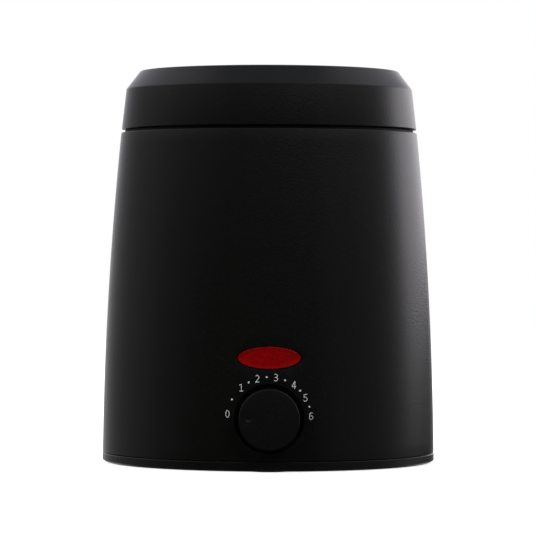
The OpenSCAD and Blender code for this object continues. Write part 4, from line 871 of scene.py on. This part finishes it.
def make_lid(s):
    ring_gap = 0.4 * MM  # between the rim ring and the lid's outer lower edge
    r, z0, z1 = lid_high.x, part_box("rim_ring")[1].z + ring_gap, lid_high.z
    shoulder_r = r - s.side_lean
    top_r = shoulder_r - s.shoulder_lean
    shoulder_z = z1 - s.shoulder_height
    dish_r = top_r - s.border
    ceiling = z1 - s.dish - s.wall
    # Each corner's radius from the axis, height and rounding
    corners = (
        (0, z1 - s.dish, 0),
        (dish_r - s.dish * 2, z1 - s.dish, 1.2 * MM),
        (dish_r, z1, 0.6 * MM),
        (top_r, z1, s.top_edge),
        (shoulder_r, shoulder_z, s.shoulder_edge),
        (r, z0, s.edge),
        (s.lip_outer, z0, 0),
        (s.lip_outer, lid_low.z, 0.4 * MM),
        (s.lip_inner, lid_low.z, 0.4 * MM),
        (s.lip_inner, z0 + s.shelf, 0),
        (r - s.wall, z0 + s.shelf, 0),
        (shoulder_r - s.wall, shoulder_z - s.wall / 2, 1.5 * MM),
        (top_r - s.wall / 2, ceiling, 2 * MM),
        (0, ceiling, 0),
    )
    profile = rounded([c[:2] for c in corners], {i: c[2] for i, c in enumerate(corners)})
    data = turned("lid_shell", profile, finish_of("moulded_black"))
    place_piece("lid_shell", data, "cover", "moulded_black", ["lid"])


class WAX_OT_lid(bpy.types.Operator):
    """Builds the lid as a turned piece with rounded edges"""
    bl_idname = "wax.lid"
    bl_label = "Build the lid"

    def execute(self, context):
        make_lid(settings("lid"))
        return {"FINISHED"}


def make_knob(s):
    front, back = knob_low.y, knob_high.y
    roof = front + s.wall
    bevel = 0.2 * MM  # at the skirt's end
    shell = Shell()

    def ring(radius, y):
        return upright(circle(radius), y, knob_z)

    # The face, with its dimple
    x0, z0 = s.dimple_offset * cos(s.pointer), s.dimple_offset * sin(s.pointer)
    lip = 0.22 * MM  # where the dimple rounds over into the face
    rim = circle(s.dimple_radius + lip, 48)
    hole = [(x + x0, z + z0) for x, z in rim]
    shell.patch([circle(knob_r - s.edge), hole], [], lambda x, z: (x, front, z + knob_z))
    bowl = [
        [(x * wide + x0, front + s.dimple_depth * deep, z * wide + z0 + knob_z) for x, z in rim]
        for wide, deep in (
            (1.0, 0.0), (0.96, 0.02), (0.91, 0.09), (0.86, 0.2), (0.76, 0.42),
            (0.62, 0.66), (0.45, 0.84), (0.25, 0.96), (0.1, 1.0),
        )
    ]
    shell.strips(*bowl)
    shell.cap(bowl[-1])
    # The edge, the skirt, the inside and the hub
    bore_end = ring(s.bore, roof + 0.5 * MM)
    shell.strips(
        *[ring(knob_r - out, front + into) for into, out in quarter(s.edge)],
        ring(knob_r, back - bevel), ring(knob_r - bevel, back),
        ring(knob_r - s.wall, back), ring(knob_r - s.wall, roof),
        ring(s.hub, roof), ring(s.hub, back), ring(s.bore, back), bore_end,
    )
    shell.cap(bore_end)
    place_piece("knob_cap", shell.mesh("knob_cap"), "control", "knob_black", ["knob"])


class WAX_OT_knob(bpy.types.Operator):
    """Builds the knob, with its pointer dimple, hub and bore"""
    bl_idname = "wax.knob"
    bl_label = "Build the knob"

    def execute(self, context):
        make_knob(settings("knob"))
        return {"FINISHED"}


def make_lens(s):
    slope = 0.25 * MM  # from the rim down to the window

    def ring(inset, depth, stretch=1.0):
        """A ring of the lens's face, which follows the casing."""
        loop = oval((lens_w - inset) * stretch, (lens_h - inset) * stretch)
        return on_front(loop, lens_z, depth - s.proud)

    def flat(inset):
        """A ring of the lens's flat back."""
        return upright(oval(lens_w - inset, lens_h - inset), lens_high.y, lens_z)

    shell = Shell()
    shell.solid(
        *[ring(s.rim + slope, s.step, k / 8) for k in (0.5, 2, 4, 6, 8)],
        ring(s.rim, 0.0), ring(s.edge, 0.0),
        *[ring(into, out) for into, out in reversed(quarter(s.edge)[:-1])],
        flat(0.0), flat(s.wall),
        *[ring(s.wall, s.wall, k / 8) for k in (8, 6, 3, 0.5)],
    )
    lens = shell.mesh("lens_window")
    place_piece("lens_window", lens, "housing", "lens_red", ["lamp_lens"])


class WAX_OT_lens(bpy.types.Operator):
    """Builds the oval lens of the indicator lamp"""
    bl_idname = "wax.lens"
    bl_label = "Build the lens"

    def execute(self, context):
        make_lens(settings("lens"))
        return {"FINISHED"}


def bow(x, y, half_width, half_height, start, end, steps=14):
    """Points along an arc of an oval, from one angle to another in degrees."""
    turns = [radians(start + (end - start) * i / steps) for i in range(steps + 1)]
    return [(x + half_width * cos(t), y + half_height * sin(t)) for t in turns]


# Centre lines of the digits' strokes, for a digit that is 1 high round (0.3, 0.5)
DIGITS = {
    "0": [bow(0.3, 0.5, 0.235, 0.44, 0, 360, 28)],
    "1": [[(0.08, 0.85), (0.36, 0.93)], [(0.33, 1.0), (0.33, 0.0)], [(0.09, 0.06), (0.57, 0.06)]],
    "2": [bow(0.28, 0.69, 0.235, 0.25, 150, -35) + [(0.09, 0.08)], [(0.05, 0.06), (0.56, 0.06)]],
    "3": [bow(0.26, 0.735, 0.225, 0.205, 140, -90), bow(0.26, 0.295, 0.25, 0.235, 90, -145),
          [(0.14, 0.53), (0.28, 0.53)]],
    "4": [[(0.42, 1.0), (0.42, 0.0)], [(0.4, 0.95), (0.04, 0.3)], [(0.02, 0.28), (0.6, 0.28)]],
    "5": [[(0.53, 0.94), (0.09, 0.94)], [(0.13, 0.97), (0.13, 0.53)],
          bow(0.26, 0.32, 0.26, 0.26, 122, -145)],
    "6": [bow(0.31, 0.31, 0.235, 0.25, 0, 360, 24),
          bow(0.35, 0.44, 0.275, 0.5, 62, 180) + [(0.075, 0.31)]],
}

# Where the digits and dots stand round the knob, in degrees anticlockwise from +X
DIGIT_PLACES = {"0": 173.2, "1": 132.0, "2": 106.5, "3": 80.8, "4": 54.2, "5": 30.4, "6": 4.1}
DOT_PLACES = (152.4, 119.2, 93.5, 67.8, 42.6, 17.1)


def make_dial(s):
    points, edges = [], []

    def at(angle):
        a = radians(angle)
        return s.radius * cos(a), s.radius * sin(a) + knob_z

    for text, angle in DIGIT_PLACES.items():
        x0, z0 = at(angle)
        for k, line in enumerate(DIGITS[text]):
            first, closed = len(points), dist(line[0], line[-1]) < MERGE
            line = line[:-1] if closed else line
            lift = k * s.lift / 20  # keeps the strokes out of one plane
            points += [
                (x0 + (x - 0.3) * s.digit_height, z0 + (z - 0.5) * s.digit_height, lift)
                for x, z in line
            ]
            edges += [(first + i, first + i + 1) for i in range(len(line) - 1)]
            if closed:
                edges.append((first + len(line) - 1, first))
    points += [(*at(angle), 0.0) for angle in DOT_PLACES]
    ink, _ = shader("Dial ink", s.colour, 0.5)
    data = run_tree(
        "dial_marks", plain_mesh("dial_lines", points, edges), stroke_tree, "Printed strokes",
        Stroke=s.stroke, Lift=s.lift, Dot_radius=s.dot_radius, Finish=ink,
    )
    for v in data.vertices:
        v.co = on_side(v.co.x, v.co.y, -v.co.z)
    tidy(data)
    place_piece("dial_marks", data, "housing", None)


class WAX_OT_dial(bpy.types.Operator):
    """Prints the dial's digits and dots round the knob's recess"""
    bl_idname = "wax.dial"
    bl_label = "Print the dial"

    def execute(self, context):
        make_dial(settings("dial"))
        return {"FINISHED"}


class WAX_OT_feet(bpy.types.Operator):
    """Makes one rubber foot with rounded edges and repeats it at the four places"""
    bl_idname = "wax.feet"
    bl_label = "Build the feet"

    def execute(self, context):
        boxes = [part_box(name) for name in FEET]
        low, high = boxes[0]
        r, top = (high.x - low.x) / 2, high.z
        edge = 0.3 * MM
        profile = rounded([(0, 0), (r, 0), (r, top), (0, top)], {1: edge, 2: edge / 2}, 4)
        shape = turned("foot_shape", profile, finish_of("foot_rubber"), 64)
        places = [(*middle(a, b)[:2], 0) for a, b in boxes]
        data = repeated("feet", shape, places, finish_of("foot_rubber"))
        place_piece("feet", data, "housing", "foot_rubber", FEET)
        return {"FINISHED"}


# Each lamp's name, place, size and power; they point at AIM
LAMPS = (
    ("key_light", (0.9, -1.0, 1.3), 0.9, 24.0),
    ("fill_light", (-1.1, -0.9, 0.9), 1.0, 20.0),
    ("top_light", (0.0, 0.3, 1.6), 1.2, 16.0),
)
AIM = (0, 0, 0.08)

# What shiny finishes see at three heights: stops round the object, as azimuth in degrees from
# the front and brightness, and the tint of the light
STUDIO = {
    "below": ((
        (-180, 1.0), (-168, 0.8), (-155, 0.37), (-140, 0.21), (-125, 0.165), (-100, 0.14),
        (-77, 0.07), (-52, 0.007), (28, 0.007), (48, 0.06), (60, 0.073), (85, 0.098), (96, 0.13),
        (108, 0.16), (122, 0.14), (131, 0.07), (143, 0.045), (156, 0.06), (174, 0.9),
    ), (1.0, 1.0, 1.0)),
    "level": ((
        (-180, 1.3), (-168, 0.95), (-155, 0.48), (-140, 0.27), (-120, 0.195), (-100, 0.18),
        (-68, 0.07), (-45, 0.006), (28, 0.008), (48, 0.068), (60, 0.08), (86, 0.155), (97, 0.29),
        (107, 0.62), (114, 1.3), (121, 1.85), (140, 1.55), (178, 1.3),
    ), (1.0, 0.965, 1.02)),
    "high": ((
        (-180, 0.7), (-120, 0.5), (-92, 0.45), (-62, 0.24), (-30, 0.12), (0, 0.16), (26, 0.26),
        (60, 0.36), (96, 0.5), (120, 0.62), (178, 0.68),
    ), (0.97, 0.97, 1.07)),
}

# Between which elevations in degrees each height or plain colour takes over
RISES = (
    (-30, -14, "below"), (0.2, 2.2, "level"), (8, 21, "high"),
    (58, 68, (0.2, 0.21, 0.26)), (80, 88, (0.155, 0.165, 0.21)),
)


def make_stage(s):
    scene = bpy.context.scene
    scene.view_settings.view_transform = "Standard"
    make_world(scene, s)
    make_floor()
    for name, place, size, power in LAMPS:
        lamp = bpy.data.lights.new(name, "AREA")
        lamp.energy = power
        lamp.size = size
        pointed(name, lamp, place, AIM).visible_glossy = False
    camera = bpy.data.cameras.new("camera")
    camera.lens = s.lens
    camera.clip_start, camera.clip_end = 0.01, 50.0
    eye, aim = (s.aside, -s.distance, s.eye_height), (s.aim_aside, 0.0, s.aim_height)
    scene.camera = pointed("camera", camera, eye, aim)
    scene.camera.rotation_euler.rotate_axis("Z", s.roll)


class WAX_OT_stage(bpy.types.Operator):
    """Sets up the floor, the lights, the world and the camera"""
    bl_idname = "wax.stage"
    bl_label = "Set up the stage"

    def execute(self, context):
        make_stage(settings("stage"))
        return {"FINISHED"}


def pointed(name, data, place, aim):
    """A lamp or camera that points from a place at another."""
    holder = put(name, data)
    holder.location = place
    way = Vector(aim) - Vector(place)
    holder.rotation_euler = way.to_track_quat("-Z", "Y").to_euler()
    return holder


def ramp(tree, name, stops, tint):
    """A colour ramp round the object through (azimuth, brightness) stops."""
    line = add(tree, name, "ShaderNodeValToRGB").color_ramp
    line.interpolation = "EASE"
    while len(line.elements) > 1:
        line.elements.remove(line.elements[0])
    for i, (azimuth, value) in enumerate(stops):
        place = (azimuth + 180) / 360
        stop = line.elements[0] if i == 0 else line.elements.new(place)
        stop.position = place
        stop.color = (*(value * t for t in tint), 1)
    wire(tree, f"turn.0 > {name}.Fac")


def mix(tree, fac, *colours):
    """A mix of two colours, each an output or plain red, green and blue."""
    node = add(tree, "mix", "ShaderNodeMix", data_type="RGBA")
    tree.links.new(fac, node.inputs[0])
    for socket, colour in zip(node.inputs[6:8], colours):
        if isinstance(colour, tuple):
            socket.default_value = (*colour, 1)
        else:
            tree.links.new(colour, socket)
    return node.outputs[2]


def make_world(scene, s):
    """A white backdrop for the camera, a dark front with bright sides and top for the shiny
    finishes, and soft even light for the rest."""
    world = scene.world = bpy.data.worlds.new("studio")
    world.use_nodes = True
    tree = world.node_tree
    tree.nodes.clear()
    nodes(tree, "ShaderNode", ray="LightPath", where="TexCoord", split="SeparateXYZ",
          light="Background", out="OutputWorld")
    maths(tree, "back", "MULTIPLY", {1: -1.0})
    maths(tree, "azimuth", "ARCTAN2")
    add(tree, "turn", "ShaderNodeMapRange", {"From Min": -pi, "From Max": pi})
    maths(tree, "plain", "MAXIMUM")
    wire(tree, """where.Generated > split.0, split.Y > back.0, split.X > azimuth.0,
        back.0 > azimuth.1, azimuth.0 > turn.Value, ray.Is Camera Ray > plain.0,
        ray.Is Transmission Ray > plain.1, light.0 > out.Surface""")
    for name, (stops, tint) in STUDIO.items():
        ramp(tree, name, stops, tint)
    ray, plain, light = (tree.nodes[name] for name in ("ray", "plain", "light"))
    seen = (0.05, 0.05, 0.05)
    for start, end, above in RISES:
        values = {"From Min": sin(radians(start)), "From Max": sin(radians(end))}
        rise = add(tree, "rise", "ShaderNodeMapRange", values, interpolation_type="SMOOTHSTEP")
        wire(tree, f"split.Z > {rise.name}.Value")
        above = tree.nodes[above].outputs[0] if above in STUDIO else above
        seen = mix(tree, rise.outputs[0], seen, above)
    seen = mix(tree, ray.outputs["Is Diffuse Ray"], seen, (s.fill,) * 3)
    seen = mix(tree, plain.outputs[0], seen, (1.0, 1.0, 1.0))
    tree.links.new(seen, light.inputs["Color"])


def make_floor():
    """A plain pale floor that keeps the object's shadow and can be seen through from below."""
    half, z = 2.4, -0.05 * MM
    corners = [(-half, -half, z), (half, -half, z), (half, half, z), (-half, half, z)]
    data = plain_mesh("floor", corners, faces=[(0, 1, 2, 3)])
    material, tree = shader("Floor", (0.82,) * 3, 0.9, Specular_IOR_Level=0.0,
                            Emission_Color=(1, 1, 1, 1))
    if tree:
        nodes(tree, "ShaderNode", ray="LightPath", under="NewGeometry",
              clear="BsdfTransparent", sides="MixShader")
        maths(tree, "lift", "MULTIPLY", {1: 0.8})
        wire(tree, """ray.Is Camera Ray > lift.0, under.Backfacing > sides.Fac,
            lift.0 > Principled BSDF.Emission Strength, Principled BSDF.0 > sides.1,
            clear.0 > sides.2, sides.0 > Material Output.Surface""")
    data.materials.append(material)
    floor = put("floor", data)
    floor.visible_glossy = False
    floor.visible_diffuse = False


class WAX_PT_panel(bpy.types.Panel):
    """Lists the steps that build the wax warmer pot"""
    bl_idname = "WAX_PT_panel"
    bl_label = "Wax Warmer Pot"
    bl_space_type = "VIEW_3D"
    bl_region_type = "UI"
    bl_category = "Wax Warmer"

    def draw(self, context):
        for step in STEPS:
            self.layout.operator(step.bl_idname, text=step.bl_label)


STEPS = (
    WAX_OT_inner_pieces, WAX_OT_casing, WAX_OT_lid, WAX_OT_knob, WAX_OT_lens, WAX_OT_dial,
    WAX_OT_feet, WAX_OT_stage,
)


def register():
    for name, group in SETTINGS.items():
        bpy.utils.register_class(group)
        setattr(bpy.types.Scene, name, bpy.props.PointerProperty(type=group))
    for item in STEPS + (WAX_PT_panel,):
        bpy.utils.register_class(item)


def unregister():
    for item in reversed(STEPS + (WAX_PT_panel,)):
        bpy.utils.unregister_class(item)
    for name, group in reversed(SETTINGS.items()):
        delattr(bpy.types.Scene, name)
        bpy.utils.unregister_class(group)


def main():
    register()
    for step in STEPS:
        group, name = step.bl_idname.split(".")
        getattr(getattr(bpy.ops, group), name)()


if __name__ == "__main__":
    main()
